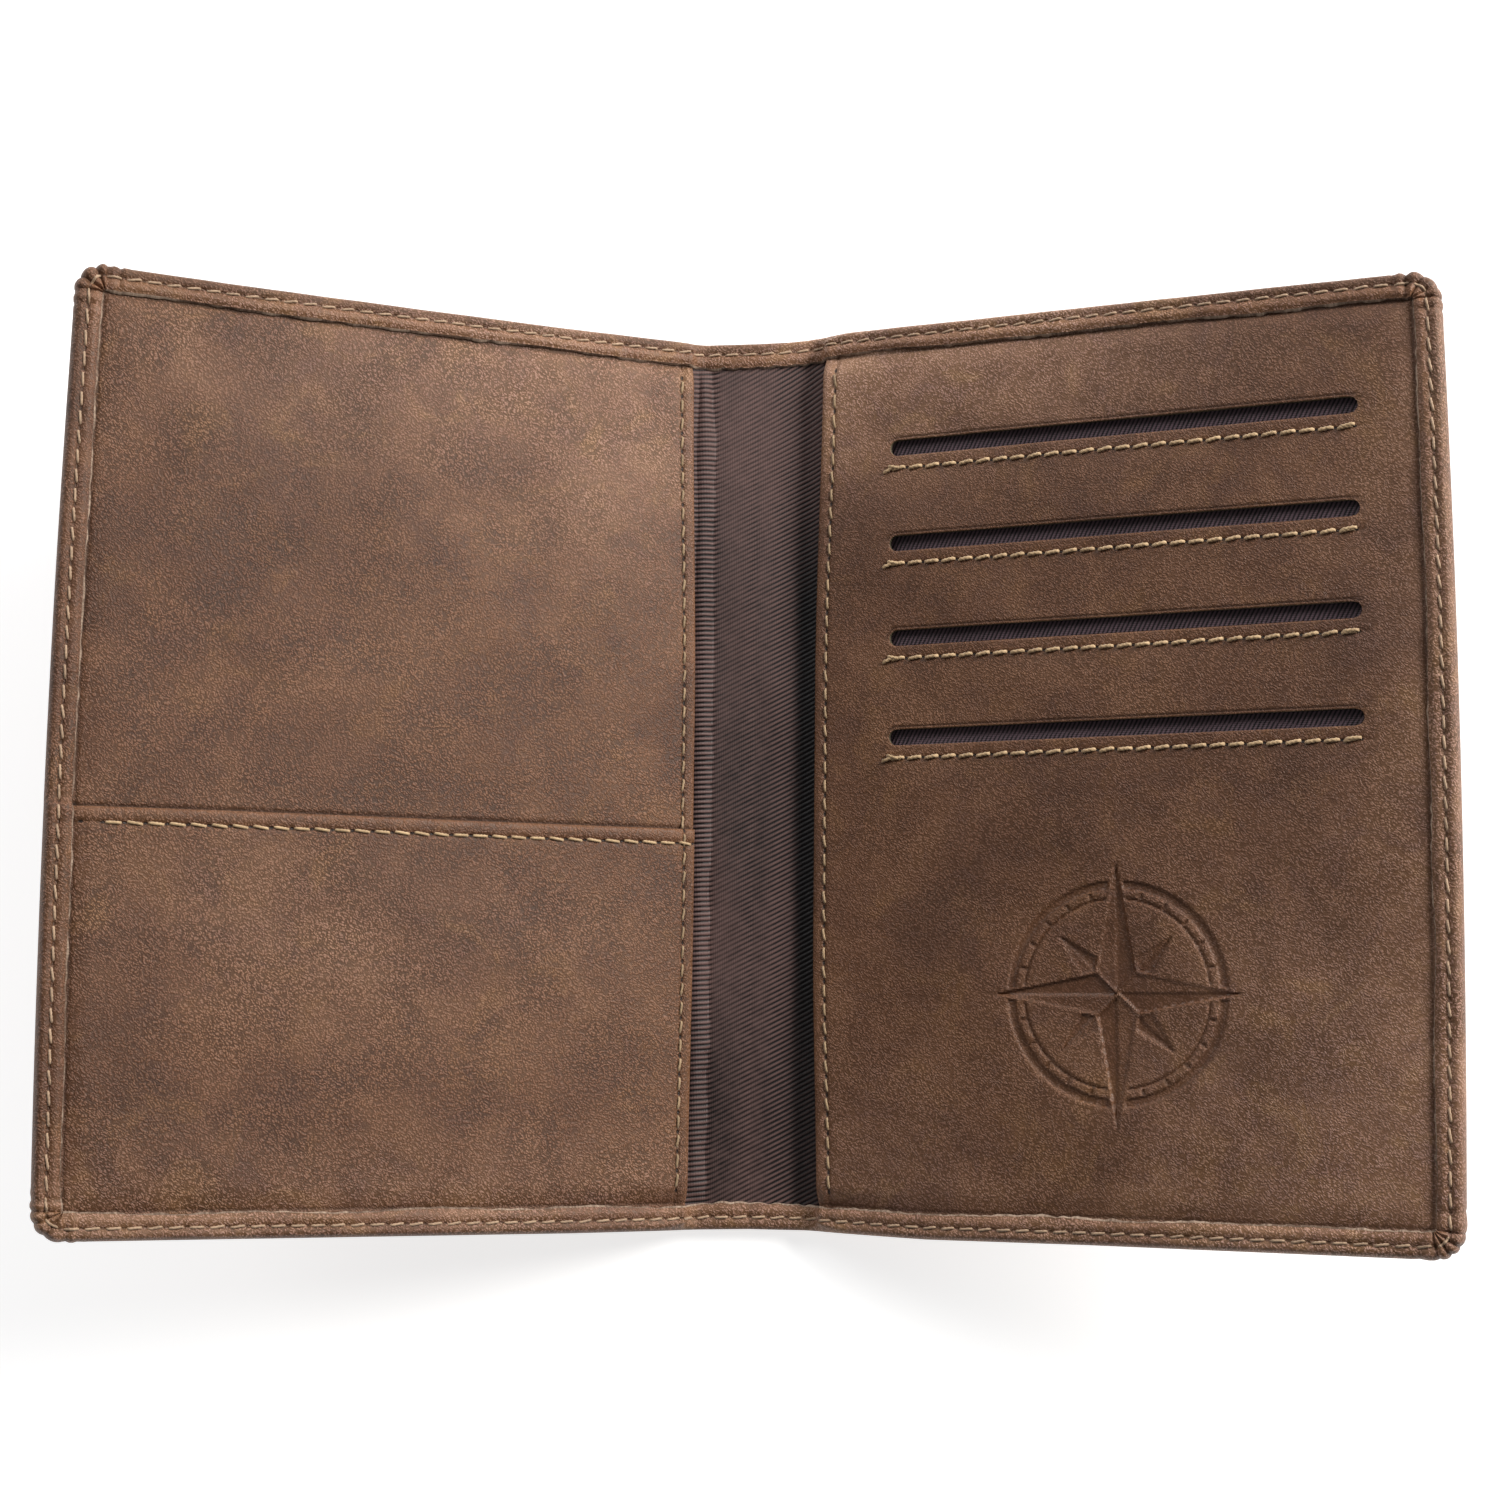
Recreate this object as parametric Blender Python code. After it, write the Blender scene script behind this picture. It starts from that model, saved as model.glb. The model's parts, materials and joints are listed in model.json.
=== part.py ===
"""Passport holder wallet, standing open on its spine in a wide V.

Metres, +Z up. The origin is the centre of the spine's underside.
The front cover is on -X, the back cover on +X, and +Y is the top edge.
"""

import math

import bmesh
import bpy

MM = 0.001

# overall sizes, in millimetres
HEIGHT = 140.0          # along the spine
COVER_WIDTH = 98.3      # hinge line to fore-edge, at the corners
EDGE_BOW = 1.0          # how far the fore-edge bulges at mid height
CORNER_RADIUS = 5.0
HINGE_X = 9.3           # half the distance between the two hinge lines
REST_ANGLE = 22.3       # each cover, above flat, in degrees

# layers, in millimetres above the inner face of the outer leather
LEATHER = 1.0
BOARD = (0.2, 0.8)
LINING = (1.0, 1.25)
SLEEVE = (1.75, 2.65)
POCKET = (2.85, 3.7)
CARD_PANEL = (2.8, 3.7)
CARD_LINERS = ((1.40, 1.60), (1.75, 1.95), (2.10, 2.30), (2.45, 2.65))
HEM = (3.9, 4.8)
SPINE_LINING = (0.2, 0.45)
SPINE_HEM = (0.65, 1.55)

# layout on the covers, in millimetres
FOLD_GAP = 0.2          # bare leather either side of each hinge line
HEM_WIDTH = 3.8
HEM_START = 2.6         # where a cover's hem begins, out from the hinge
SPINE_HEM_GAP = 1.6     # where the spine's hem ends, short of the hinge
PANEL_START = 2.2
PANEL_INSET = 1.4
POCKET_TOP = -8.7
POCKET_SEAM = -11.1
EDGE_SEAM = 4.2
HEM_SEAM = 1.9
SLOT_Y = (51.6, 36.3, 21.3, 5.7)
SLOT_U = (14.1, 86.4)
SLOT_HEIGHT = 2.5
SLOT_SEAM_DROP = 3.5
LINER_U = (10.0, 90.5)
LINER_RISE = 4.5
LINER_DEPTH = 48.0

# thread
STITCH = 2.8
THREAD_HALF = 0.2
THREAD_LIFT = 0.32
THREAD_WAVE = 0.06

SLOTS = {
    "cover_leather": (0.19, 0.105, 0.06),
    "panel_leather": (0.17, 0.09, 0.055),
    "lining_twill": (0.045, 0.03, 0.035),
    "stiffener_board": (0.42, 0.38, 0.32),
    "hem_thread": (0.5, 0.38, 0.25),
    "slot_thread": (0.52, 0.36, 0.17),
}


def clear_scene():
    for item in list(bpy.data.objects):
        bpy.data.objects.remove(item, do_unlink=True)


def make_materials():
    made = {}
    for name, colour in SLOTS.items():
        material = bpy.data.materials.new(name)
        material.use_nodes = True
        shader = material.node_tree.nodes["Principled BSDF"]
        shader.inputs["Base Color"].default_value = (*colour, 1.0)
        shader.inputs["Roughness"].default_value = 0.7
        made[name] = material
    return made


def make_hinge(name, side):
    """An empty on the hinge line, turned so that its X axis lies along the cover."""
    hinge = bpy.data.objects.new(name, None)
    hinge.location = (side * HINGE_X * MM, 0.0, LEATHER * MM)
    hinge.rotation_euler = (0.0, -side * math.radians(REST_ANGLE), 0.0)
    bpy.context.collection.objects.link(hinge)
    return hinge


def add_solid(name, rings, side=1, parent=None, material=None):
    """A solid through rings of (u, y, height) points, capped at both ends."""
    mesh = bmesh.new()
    loops = []
    for ring in rings:
        loops.append([mesh.verts.new((side * u * MM, y * MM, h * MM)) for u, y, h in ring])
    count = len(loops[0])
    for low, high in zip(loops, loops[1:]):
        for i in range(count):
            j = (i + 1) % count
            mesh.faces.new((low[i], low[j], high[j], high[i]))
    mesh.faces.new(list(reversed(loops[0])))
    mesh.faces.new(loops[-1])
    bmesh.ops.recalc_face_normals(mesh, faces=mesh.faces)
    data = bpy.data.meshes.new(name)
    mesh.to_mesh(data)
    mesh.free()
    item = bpy.data.objects.new(name, data)
    if material:
        data.materials.append(material)
    if parent:
        item.parent = parent
    bpy.context.collection.objects.link(item)
    return item


def cut(item, cutter):
    """Takes the cutter out of the item; the cutter itself isn't part of the product."""
    cutter.hide_render = True
    cutter.display_type = "WIRE"
    modifier = item.modifiers.new("cut_" + cutter.name, "BOOLEAN")
    modifier.operation = "DIFFERENCE"
    modifier.solver = "EXACT"
    modifier.object = cutter


def arc(centre, radius, start, end, steps):
    points = []
    for i in range(steps + 1):
        turn = math.radians(start + (end - start) * i / steps)
        points.append((centre[0] + radius * math.cos(turn), centre[1] + radius * math.sin(turn)))
    return points


def cover_outline(inset, start, low=None, high=None):
    """Outline of one layer: three sides inset from the cover's edge, square at the spine."""
    top = HEIGHT / 2 - inset if high is None else high
    bottom = -HEIGHT / 2 + inset if low is None else low
    edge = COVER_WIDTH - inset
    radius = max(CORNER_RADIUS - inset, 1.2)
    points = [(start, bottom)]
    points += arc((edge - radius, bottom + radius), radius, -90, 0, 5)
    rows = 8
    for i in range(1, rows):
        points.append((edge, bottom + radius + (top - bottom - 2 * radius) * i / rows))
    points += arc((edge - radius, top - radius), radius, 0, 90, 5)
    points.append((start, top))
    return [(bowed(u, y), y) for u, y in points]


def bowed(u, y):
    """Moves a point out with the bulge of the fore-edge."""
    return u + EDGE_BOW * (u / COVER_WIDTH) * (1 - (2 * y / HEIGHT) ** 2)


def at(outline, height):
    return [(u, y, height) for u, y in outline]


def sheet(name, layer, inset, start, soft, **spread):
    """A flat layer of a cover; soft rounds its top and bottom edges by that much."""
    low, high = layer
    limits = {key: spread.pop(key) for key in ("low", "high") if key in spread}
    outline = cover_outline(inset, start, **limits)
    if not soft:
        return add_solid(name, [at(outline, low), at(outline, high)], **spread)
    narrow = cover_outline_shrunk(outline, soft)
    rings = [at(narrow, low), at(outline, low + soft), at(outline, high - soft), at(narrow, high)]
    return add_solid(name, rings, **spread)


def cover_outline_shrunk(outline, amount):
    """The outline drawn in on all four sides by the same amount."""
    low_y = min(y for u, y in outline)
    high_y = max(y for u, y in outline)
    middle_y = (low_y + high_y) / 2
    half_y = (high_y - low_y) / 2
    low_u = min(u for u, y in outline)
    high_u = max(u for u, y in outline)
    centre_u = (low_u + high_u) / 2
    half_u = (high_u - low_u) / 2
    scale_u = (half_u - amount) / half_u
    scale_y = (half_y - amount) / half_y
    shrunk = []
    for u, y in outline:
        shrunk.append((centre_u + (u - centre_u) * scale_u, middle_y + (y - middle_y) * scale_y))
    return shrunk


def make_cover_leather(name, **spread):
    """Outer leather wrapped round three edges and turned in as a hem."""
    top = HEM[1]
    profile = ((-LEATHER, 1.0), (-0.7, 0.3), (-0.2, 0.0), (3.9, 0.0), (4.5, 0.3), (top, 1.0))
    rings = [at(cover_outline(inset, FOLD_GAP), height) for height, inset in profile]
    leather = add_solid(name, rings, **spread)
    hollow = ((0.0, LEATHER), (HEM[0], LEATHER), (HEM[0], HEM_WIDTH), (top + 2, HEM_WIDTH))
    rings = [at(cover_outline(inset, -5.0), height) for height, inset in hollow]
    cut(leather, add_solid(name + "_hollow", rings, spread["side"], spread["parent"]))
    relief = [(-5, -80), (HEM_START, -80), (HEM_START, 80), (-5, 80)]
    rings = [at(relief, 0.0), at(relief, top + 2)]
    cut(leather, add_solid(name + "_relief", rings, spread["side"], spread["parent"]))
    return leather


def stadium(low_u, high_u, y, height):
    radius = height / 2
    points = arc((high_u - radius, y), radius, -90, 90, 6)
    points += arc((low_u + radius, y), radius, 90, 270, 6)
    return points


def make_card_panel(**spread):
    panel = sheet("card_panel", CARD_PANEL, PANEL_INSET, PANEL_START, 0.2, **spread)
    for number, y in enumerate(SLOT_Y, 1):
        mouth = stadium(SLOT_U[0], SLOT_U[1], y, SLOT_HEIGHT)
        rings = [at(mouth, CARD_PANEL[0] - 1), at(mouth, CARD_PANEL[1] + 1)]
        cut(panel, add_solid("slot_cut_%d" % number, rings, spread["side"], spread["parent"]))
    return panel


def card_liner_outline(slot_y):
    low, high = slot_y - LINER_DEPTH, slot_y + LINER_RISE
    return [(LINER_U[0], low), (LINER_U[1], low), (LINER_U[1], high), (LINER_U[0], high)]


def resample(path, step):
    """Points at even distances of about one step along a path of (u, y, height)."""
    lengths = [0.0]
    for a, b in zip(path, path[1:]):
        lengths.append(lengths[-1] + math.dist(a, b))
    count = max(2, round(lengths[-1] / step))
    points = []
    k = 0
    for i in range(count + 1):
        want = lengths[-1] * i / count
        while k < len(path) - 2 and lengths[k + 1] < want:
            k += 1
        part = (want - lengths[k]) / (lengths[k + 1] - lengths[k])
        points.append(tuple(p + (q - p) * part for p, q in zip(path[k], path[k + 1])))
    return points


def make_thread(name, path, **spread):
    """One running thread that rises and dips at every stitch."""
    points = resample(path, STITCH / 2)
    rings = []
    for i, (u, y, height) in enumerate(points):
        before, after = points[max(i - 1, 0)], points[min(i + 1, len(points) - 1)]
        along_u, along_y = after[0] - before[0], after[1] - before[1]
        length = math.hypot(along_u, along_y)
        side_u, side_y = -along_y / length * THREAD_HALF, along_u / length * THREAD_HALF
        middle = height + THREAD_LIFT + (THREAD_WAVE if i % 2 else -THREAD_WAVE)
        rings.append([
            (u + side_u, y + side_y, middle + THREAD_HALF),
            (u - side_u, y - side_y, middle + THREAD_HALF),
            (u - side_u, y - side_y, middle - THREAD_HALF),
            (u + side_u, y + side_y, middle - THREAD_HALF),
        ])
    return add_solid(name, rings, **spread)


def hem_path():
    outline = cover_outline(HEM_SEAM, HEM_START + 1.2)
    return at(outline, HEM[1])


def make_front_cover(materials):
    hinge = make_hinge("front_hinge", -1)
    spread = {"side": -1, "parent": hinge}
    leather, panel = materials["cover_leather"], materials["panel_leather"]
    lining, thread = materials["lining_twill"], materials["hem_thread"]
    make_cover_leather("front_cover_leather", material=leather, **spread)
    sheet("front_stiffener_board", BOARD, 4.5, 3.5, 0, material=materials["stiffener_board"], **spread)
    sheet("front_lining", LINING, PANEL_INSET, 0.8, 0, material=lining, **spread)
    sheet("passport_sleeve_panel", SLEEVE, PANEL_INSET, PANEL_START, 0.2, material=panel, **spread)
    sheet("lower_pocket_panel", POCKET, PANEL_INSET, PANEL_START, 0.2, high=POCKET_TOP,
          material=panel, **spread)
    make_thread("front_hem_thread", hem_path(), material=thread, **spread)
    seam = [
        (EDGE_SEAM, 65.4, SLEEVE[1]),
        (EDGE_SEAM, POCKET_TOP + 3.0, SLEEVE[1]),
        (EDGE_SEAM, POCKET_TOP + 1.0, POCKET[1] + 0.1),
        (EDGE_SEAM, -65.4, POCKET[1]),
    ]
    make_thread("sleeve_edge_thread", seam, material=thread, **spread)
    seam = [(EDGE_SEAM + 1.4, POCKET_SEAM, POCKET[1]), (93.6, POCKET_SEAM, POCKET[1])]
    make_thread("lower_pocket_thread", seam, material=thread, **spread)


def make_back_cover(materials):
    hinge = make_hinge("back_hinge", 1)
    spread = {"side": 1, "parent": hinge}
    leather, panel = materials["cover_leather"], materials["panel_leather"]
    lining, thread = materials["lining_twill"], materials["hem_thread"]
    make_cover_leather("back_cover_leather", material=leather, **spread)
    sheet("back_stiffener_board", BOARD, 4.5, 3.5, 0, material=materials["stiffener_board"], **spread)
    sheet("back_lining", LINING, PANEL_INSET, 0.8, 0, material=lining, **spread)
    make_card_panel(material=panel, **spread)
    for number, (y, layer) in enumerate(zip(SLOT_Y, CARD_LINERS), 1):
        outline = card_liner_outline(y)
        rings = [at(outline, layer[0]), at(outline, layer[1])]
        add_solid("card_pocket_lining_%d" % number, rings, material=lining, **spread)
        seam_y = y - SLOT_SEAM_DROP
        seam = [(SLOT_U[0] - 0.8, seam_y, CARD_PANEL[1]), (SLOT_U[1] + 0.3, seam_y, CARD_PANEL[1])]
        make_thread("card_slot_thread_%d" % number, seam, material=materials["slot_thread"], **spread)
    seam = [(EDGE_SEAM, 65.4, CARD_PANEL[1]), (EDGE_SEAM, -65.4, CARD_PANEL[1])]
    make_thread("card_panel_edge_thread", seam, material=thread, **spread)
    make_thread("back_hem_thread", hem_path(), material=thread, **spread)


def spine_profile():
    """Half of the spine's section at its top edge, as (y, height), outside then inside."""
    half = HEIGHT / 2
    low, high = SPINE_HEM[0] + LEATHER, SPINE_HEM[1] + LEATHER
    return [
        (half - 1.0, 0.0), (half - 0.3, 0.3), (half, 0.9), (half, high - 0.7), (half - 0.3, high - 0.25),
        (half - 1.0, high), (half - HEM_WIDTH, high), (half - HEM_WIDTH, low), (half - 1.0, low),
        (half - 1.0, LEATHER),
    ]


def box_rings(low_u, high_u, low_y, high_y, low_h, high_h):
    outline = [(low_u, low_y), (high_u, low_y), (high_u, high_y), (low_u, high_y)]
    return [at(outline, low_h), at(outline, high_h)]


def make_spine(materials):
    edge = HINGE_X - FOLD_GAP
    top = spine_profile()
    section = top + [(-y, height) for y, height in reversed(top)]
    rings = [[(x, y, height) for y, height in section] for x in (-edge, edge)]
    leather = add_solid("spine_leather", rings, material=materials["cover_leather"])
    stop = HINGE_X - SPINE_HEM_GAP
    cut(leather, add_solid("spine_relief_front", box_rings(-20, -stop, -80, 80, LEATHER, 10)))
    cut(leather, add_solid("spine_relief_back", box_rings(stop, 20, -80, 80, LEATHER, 10)))
    half_x, half_y = HINGE_X - 0.8, HEIGHT / 2 - PANEL_INSET
    low, high = SPINE_LINING[0] + LEATHER, SPINE_LINING[1] + LEATHER
    rings = box_rings(-half_x, half_x, -half_y, half_y, low, high)
    add_solid("spine_lining", rings, material=materials["lining_twill"])
    seam_y, seam_h = HEIGHT / 2 - HEM_SEAM, SPINE_HEM[1] + LEATHER
    for name, y in (("spine_hem_thread_top", seam_y), ("spine_hem_thread_bottom", -seam_y)):
        seam = [(-stop + 0.5, y, seam_h), (stop - 0.5, y, seam_h)]
        make_thread(name, seam, material=materials["hem_thread"])


def main():
    clear_scene()
    materials = make_materials()
    make_front_cover(materials)
    make_back_cover(materials)
    make_spine(materials)


main()
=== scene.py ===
"""The looks of the passport wallet: stitched leather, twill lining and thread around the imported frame.

Every soft piece is first drawn in a flat layout, in millimetres: u runs out from a cover's hinge line
(negative on the spine), y along the spine, h up from the inner face of the outer leather.
to_world() then bends the layout at the hinge into the rest pose.
"""

import json
import math

import bmesh
import bpy
import numpy as np
from mathutils import Matrix, Vector


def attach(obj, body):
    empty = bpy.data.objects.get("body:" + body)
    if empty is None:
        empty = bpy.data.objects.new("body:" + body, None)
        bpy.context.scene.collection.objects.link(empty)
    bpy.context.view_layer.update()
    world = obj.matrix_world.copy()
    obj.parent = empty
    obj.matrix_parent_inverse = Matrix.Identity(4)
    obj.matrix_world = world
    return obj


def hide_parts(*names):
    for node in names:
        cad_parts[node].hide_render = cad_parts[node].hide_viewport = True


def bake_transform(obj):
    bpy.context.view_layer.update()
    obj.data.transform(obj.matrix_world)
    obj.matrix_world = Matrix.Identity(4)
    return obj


MM = 0.001
SIDES = {"front": -1, "back": 1}

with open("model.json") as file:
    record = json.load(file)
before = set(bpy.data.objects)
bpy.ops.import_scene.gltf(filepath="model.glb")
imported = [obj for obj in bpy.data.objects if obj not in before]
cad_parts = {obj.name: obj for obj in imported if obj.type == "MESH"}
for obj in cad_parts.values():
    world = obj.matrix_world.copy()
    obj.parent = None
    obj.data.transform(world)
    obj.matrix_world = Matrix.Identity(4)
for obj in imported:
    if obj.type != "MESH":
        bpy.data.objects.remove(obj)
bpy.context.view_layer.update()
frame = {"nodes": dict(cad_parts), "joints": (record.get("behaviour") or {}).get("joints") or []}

# ---------------------------------------------------------------- sizes read from the frame

hinges = {joint["child"]: joint for joint in frame["joints"]}
HINGE_X = hinges["back_cover"]["pos_m"][0] / MM
PIVOT_Z = hinges["back_cover"]["pos_m"][2] / MM
REST = math.radians(-hinges["back_cover"]["range_deg"][0])


def layout_box(node, side):
    """Lowest and highest (u, y, h) of a CAD node in the flat layout."""
    points = np.array([v.co for v in frame["nodes"][node].data.vertices]) / MM
    x = side * points[:, 0] - HINGE_X
    z = points[:, 2] - PIVOT_Z
    u = x * math.cos(REST) + z * math.sin(REST)
    h = z * math.cos(REST) - x * math.sin(REST)
    flat = np.stack([u, points[:, 1], h], 1)
    return flat.min(0), flat.max(0)


# Made sizes, in millimetres
BOW = 1.0               # bulge of the fore-edge at mid height
CORNER = 4.3            # corner radius
BEND = 3.5              # at rest the fold's curve reaches this far either side of the hinge line
OUTER_FACE = -1.0       # height of the outer leather's outer face
LINING_LEVEL = 0.6      # top of the lining on the spine
PANEL_LEATHER = 0.9     # thickness of a panel
HEM_LEATHER = 0.75      # thickness of the outer leather, hem included
HEM_WIDTH = 3.8
HEM_SKIVE = 0.2         # the hem's cut edge slants by this much
HEM_PITCH = 2.87        # hole to hole, for each kind of seam
EDGE_PITCH = 2.9
POCKET_PITCH = 3.0
SLOT_PITCH = 2.76
EDGE_SEAM = 2.25        # a panel's spine edge to its seam
POCKET_SEAM = 2.3       # the pocket's top edge to its seam
SLOT_HALF = 1.25        # half the height of a slot's opening
SLOT_DROP = 3.5         # a slot's middle to its thread in the CAD
SLOT_SEAM_SHIFT = 0.25  # the sewn row lies this much nearer the slot than that thread
UNEVEN_SEEDS = {"sleeve": 60, "pocket": 70, "card": 80}     # a seam follows its panel's waves

# Sizes that the CAD's nodes give
WIDTH, HALF, _ = layout_box("back_cover_leather", 1)[1]
WIDTH = WIDTH - BOW
SLEEVE_TOP = layout_box("passport_sleeve_panel", -1)[1][2]
_, POCKET_Y, POCKET_LEVEL = layout_box("lower_pocket_panel", -1)[1]
(_, _, CARD_BOTTOM), (_, _, CARD_TOP) = layout_box("card_panel", 1)
HEM_SEAM = HALF - layout_box("back_hem_thread", 1)[1][1] + 0.2


def slot_places():
    """(middle y, lowest u, highest u, seam y) of each card slot."""
    places = []
    for number in range(1, 5):
        low, high = layout_box("card_slot_thread_%d" % number, 1)
        seam_y = (low[1] + high[1]) / 2
        places.append((seam_y + SLOT_DROP, low[0] + 0.8, high[0] - 0.3, seam_y + SLOT_SEAM_SHIFT))
    return places


SLOTS = slot_places()

# ---------------------------------------------------------------- shape helpers


def smooth(start, end, value):
    t = np.clip((value - start) / (end - start), 0, 1)
    return t * t * (3 - 2 * t)


def bump(value, middle, width):
    return np.exp(-(((value - middle) / width) ** 2))


def ripple(u, y, length, seed):
    """A smooth, repeatable unevenness between about -1 and 1."""
    random = np.random.default_rng(seed)
    total = 0
    for _ in range(7):
        angle, phase = random.uniform(0, 2 * math.pi, 2)
        wave = 2 * math.pi / (length * random.uniform(0.7, 1.5))
        total = total + np.sin(wave * (u * math.cos(angle) + y * math.sin(angle)) + phase)
    return total / 3.5


# How far the worn covers stand out beyond a true rectangle: (u, outwards) at the head and at the foot.
HEAD_SHAPE = {
    -1: ((-9.3, 0.9), (-4, 0.7), (0, 0.6), (6, 0.45), (20, 0.2), (50, 0.4), (75, 0.65), (92, 1.0), (98, 1.3)),
    1: ((-9.3, 0.9), (-4, 1.2), (0, 1.7), (6, 1.75), (20, 1.4), (45, 1.2), (75, 0.9), (98, 0.6)),
}
FOOT_SHAPE = {
    -1: ((-9.3, 0.0), (0, 0.2), (20, 0.35), (98, 0.35)),
    1: ((-9.3, 0.0), (0, 0.1), (20, 0.6), (45, 0.4), (98, 0.4)),
}

# Painted sheen and light on each cover, with some real paleness of the leather: (u, y, reach along u, reach
# along y, strength).
PALENESS_AND_SHEEN = {
    -1: [(30, 70, 46, 20, 1.0), (12, 46, 20, 20, 0.7), (56, 57, 22, 13, 0.5), (50, -25, 34, 13, 0.38),
         (50, -66, 90, 9, 0.4)],
    1: [(3, 66, 14, 22, 1.0), (32, 68, 34, 16, 1.7), (100, 20, 14, 60, 0.5), (84, -50, 26, 26, 1.1),
        (8, -66, 20, 18, 0.6), (60, -70, 60, 7, 0.4)],
}


def worn_out(side, u, y):
    """Outward shift of the head and foot edges where the covers aren't quite square."""
    total = 0
    for sign, table in ((1, HEAD_SHAPE[side]), (-1, FOOT_SHAPE[side])):
        total = total + sign * np.interp(u, *np.array(table).T) * smooth(52, 68, sign * y)
    return total


def stacked(u, y, h):
    """Three grids as one row (u, y, h) per point."""
    return np.stack([u, y, h], -1).reshape(-1, 3)


def to_world(side, u, y, h):
    """Layout points bent at the hinge into the rest pose, in metres."""
    y = y + worn_out(side, u, y)
    turn = REST * smooth(-BEND, BEND, u)
    x = HINGE_X + u * np.cos(turn) - h * np.sin(turn)
    z = PIVOT_Z + u * np.sin(turn) + h * np.cos(turn)
    return stacked(side * x, y + 0 * u, z) * MM


def fore_edge(y):
    return WIDTH + BOW * (1 - (y / HALF) ** 2)


def bowed(u, y):
    """Places of a true rectangle moved out towards the bulging fore-edge."""
    return u + BOW * np.clip(u / WIDTH, 0, 1) * (1 - (y / HALF) ** 2)


def inset_of(u, y):
    """Distance in from the cover's outline, by its three straight sides."""
    return np.minimum(fore_edge(y) - u, HALF - np.abs(y))


def panel_edge(side, y):
    """Where a panel's folded edge runs beside the spine."""
    if side < 0:
        return 0.75 + 1.15 * smooth(10, 66, y) + 0.45 * smooth(-20, -66, y)
    return 1.25 + 1.3 * smooth(15, 68, y) + 1.1 * smooth(-25, -68, y)


def panel_level(side, y, above, below):
    """Top of a panel; the sleeve's steps up to the pocket's between two distances from its edge."""
    if side > 0:
        return CARD_TOP
    return SLEEVE_TOP + (POCKET_LEVEL - SLEEVE_TOP) * smooth(POCKET_Y + above, POCKET_Y - below, y)


def stack_top(side, u, y, spread=0.0):
    """Height of whatever lies under the hem; spread softens its step down to the spine."""
    edge = panel_edge(side, y)
    share = smooth(edge - 1.5 - 3 * spread, edge + 0.3 + 5 * spread, u)
    return LINING_LEVEL + (panel_level(side, y, 0.7, 0.7) - LINING_LEVEL) * share


def squeezed(height, u, inset):
    """A layer's height, pressed down by the hem, and most where the hem meets the spine."""
    share = smooth(7.0, 3.4, inset) * (0.15 + 0.3 * smooth(18, 2, u))
    return height - (height - LINING_LEVEL) * share


def cumulative(points):
    steps = np.linalg.norm(np.diff(points, axis=0), axis=1)
    return np.concatenate([[0.0], np.cumsum(steps)])


def lines(*stretches):
    """Grid lines through (end, step) stretches, starting from the first number."""
    values = [stretches[0]]
    for end, step in stretches[1:]:
        count = max(1, round((end - values[-1]) / step))
        values += list(np.linspace(values[-1], end, count + 1)[1:])
    return np.array(values)


def tripled(values):
    """A mask as the vectors of an attribute."""
    return np.stack([values.ravel()] * 3, 1)


def paleness_and_sheen(side, u, y):
    """How much paler the leather is drawn: painted sheen and light with some real paleness, most towards the
    head.
    """
    total = 0 * u
    for middle_u, middle_y, reach_u, reach_y, amount in PALENESS_AND_SHEEN[side]:
        total = total + amount * bump(u, middle_u, reach_u) * bump(y, middle_y, reach_y)
    return tripled(total)


def hem_paleness_and_sheen(side, u, y):
    """Extra paleness of the hems, partly painted sheen: the card side, the foot, and the head's inner strip.
    """
    inset = inset_of(np.maximum(u, 0), y)
    foot = (0.4 if side < 0 else 0.1) * smooth(-62, -66, y)
    strip = 0.5 * bump(inset, 3.2, 0.9) * smooth(55, 64, y)
    amount = (0.4 if side > 0 else 0.16) + foot + strip
    return tripled(amount * smooth(6, 4, inset))


# ---------------------------------------------------------------- mesh helpers


def grid_quads(rows, columns):
    index = np.arange(rows * columns).reshape(rows, columns)
    corners = (index[:-1, :-1], index[:-1, 1:], index[1:, 1:], index[1:, :-1])
    return np.stack(corners, -1).reshape(-1, 4).tolist()


def open_edges(faces):
    """The directed edges that only one face uses, in order."""
    used = {}
    for face in faces:
        for a, b in zip(face, face[1:] + face[:1]):
            used[(a, b)] = True
    return [edge for edge in used if (edge[1], edge[0]) not in used]


def vertex_normals(points, faces):
    mesh = bpy.data.meshes.new("normals")
    mesh.from_pydata(points.tolist(), [], faces)
    mesh.update()
    normals = np.zeros(len(points) * 3)
    mesh.vertices.foreach_get("normal", normals)
    bpy.data.meshes.remove(mesh)
    return normals.reshape(-1, 3)


def make_closed(name, side, outer, inner, faces, materials, data, crisp=50, crisp_rim=False):
    """A closed piece from an outer surface, the matching inner one and the faces of the outer.

    data holds per-point attributes; the walls along open edges take the last material.
    """
    if side < 0:
        faces = [face[::-1] for face in faces]
    count = len(outer)
    walls = [[b, a, a + count, b + count] for a, b in open_edges(faces)]
    back = [[i + count for i in reversed(face)] for face in faces]
    mesh = bpy.data.meshes.new(name)
    mesh.from_pydata(np.concatenate([outer, inner]).tolist(), [], faces + back + walls)
    for key, values in data.items():
        attribute = mesh.attributes.new(key, "FLOAT_VECTOR", "POINT")
        both = np.concatenate([values, values]).astype(np.float32)
        attribute.data.foreach_set("vector", both.ravel())
    for material in materials:
        mesh.materials.append(material)
    slots = np.zeros(len(mesh.polygons), np.int32)
    slots[len(faces) * 2:] = len(materials) - 1
    mesh.polygons.foreach_set("material_index", slots)
    piece = finish_mesh(name, mesh, crisp)
    if crisp_rim:
        sharpen_rim(piece.data, {tuple(sorted(edge)) for edge in open_edges(faces)}, count)
    return piece


def sharpen_rim(mesh, rim, count):
    """Marks the edges between a thin piece's faces and its walls as sharp."""
    for edge in mesh.edges:
        a, b = sorted(edge.vertices)
        if (a, b) in rim or (a - count, b - count) in rim:
            edge.use_edge_sharp = True


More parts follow.
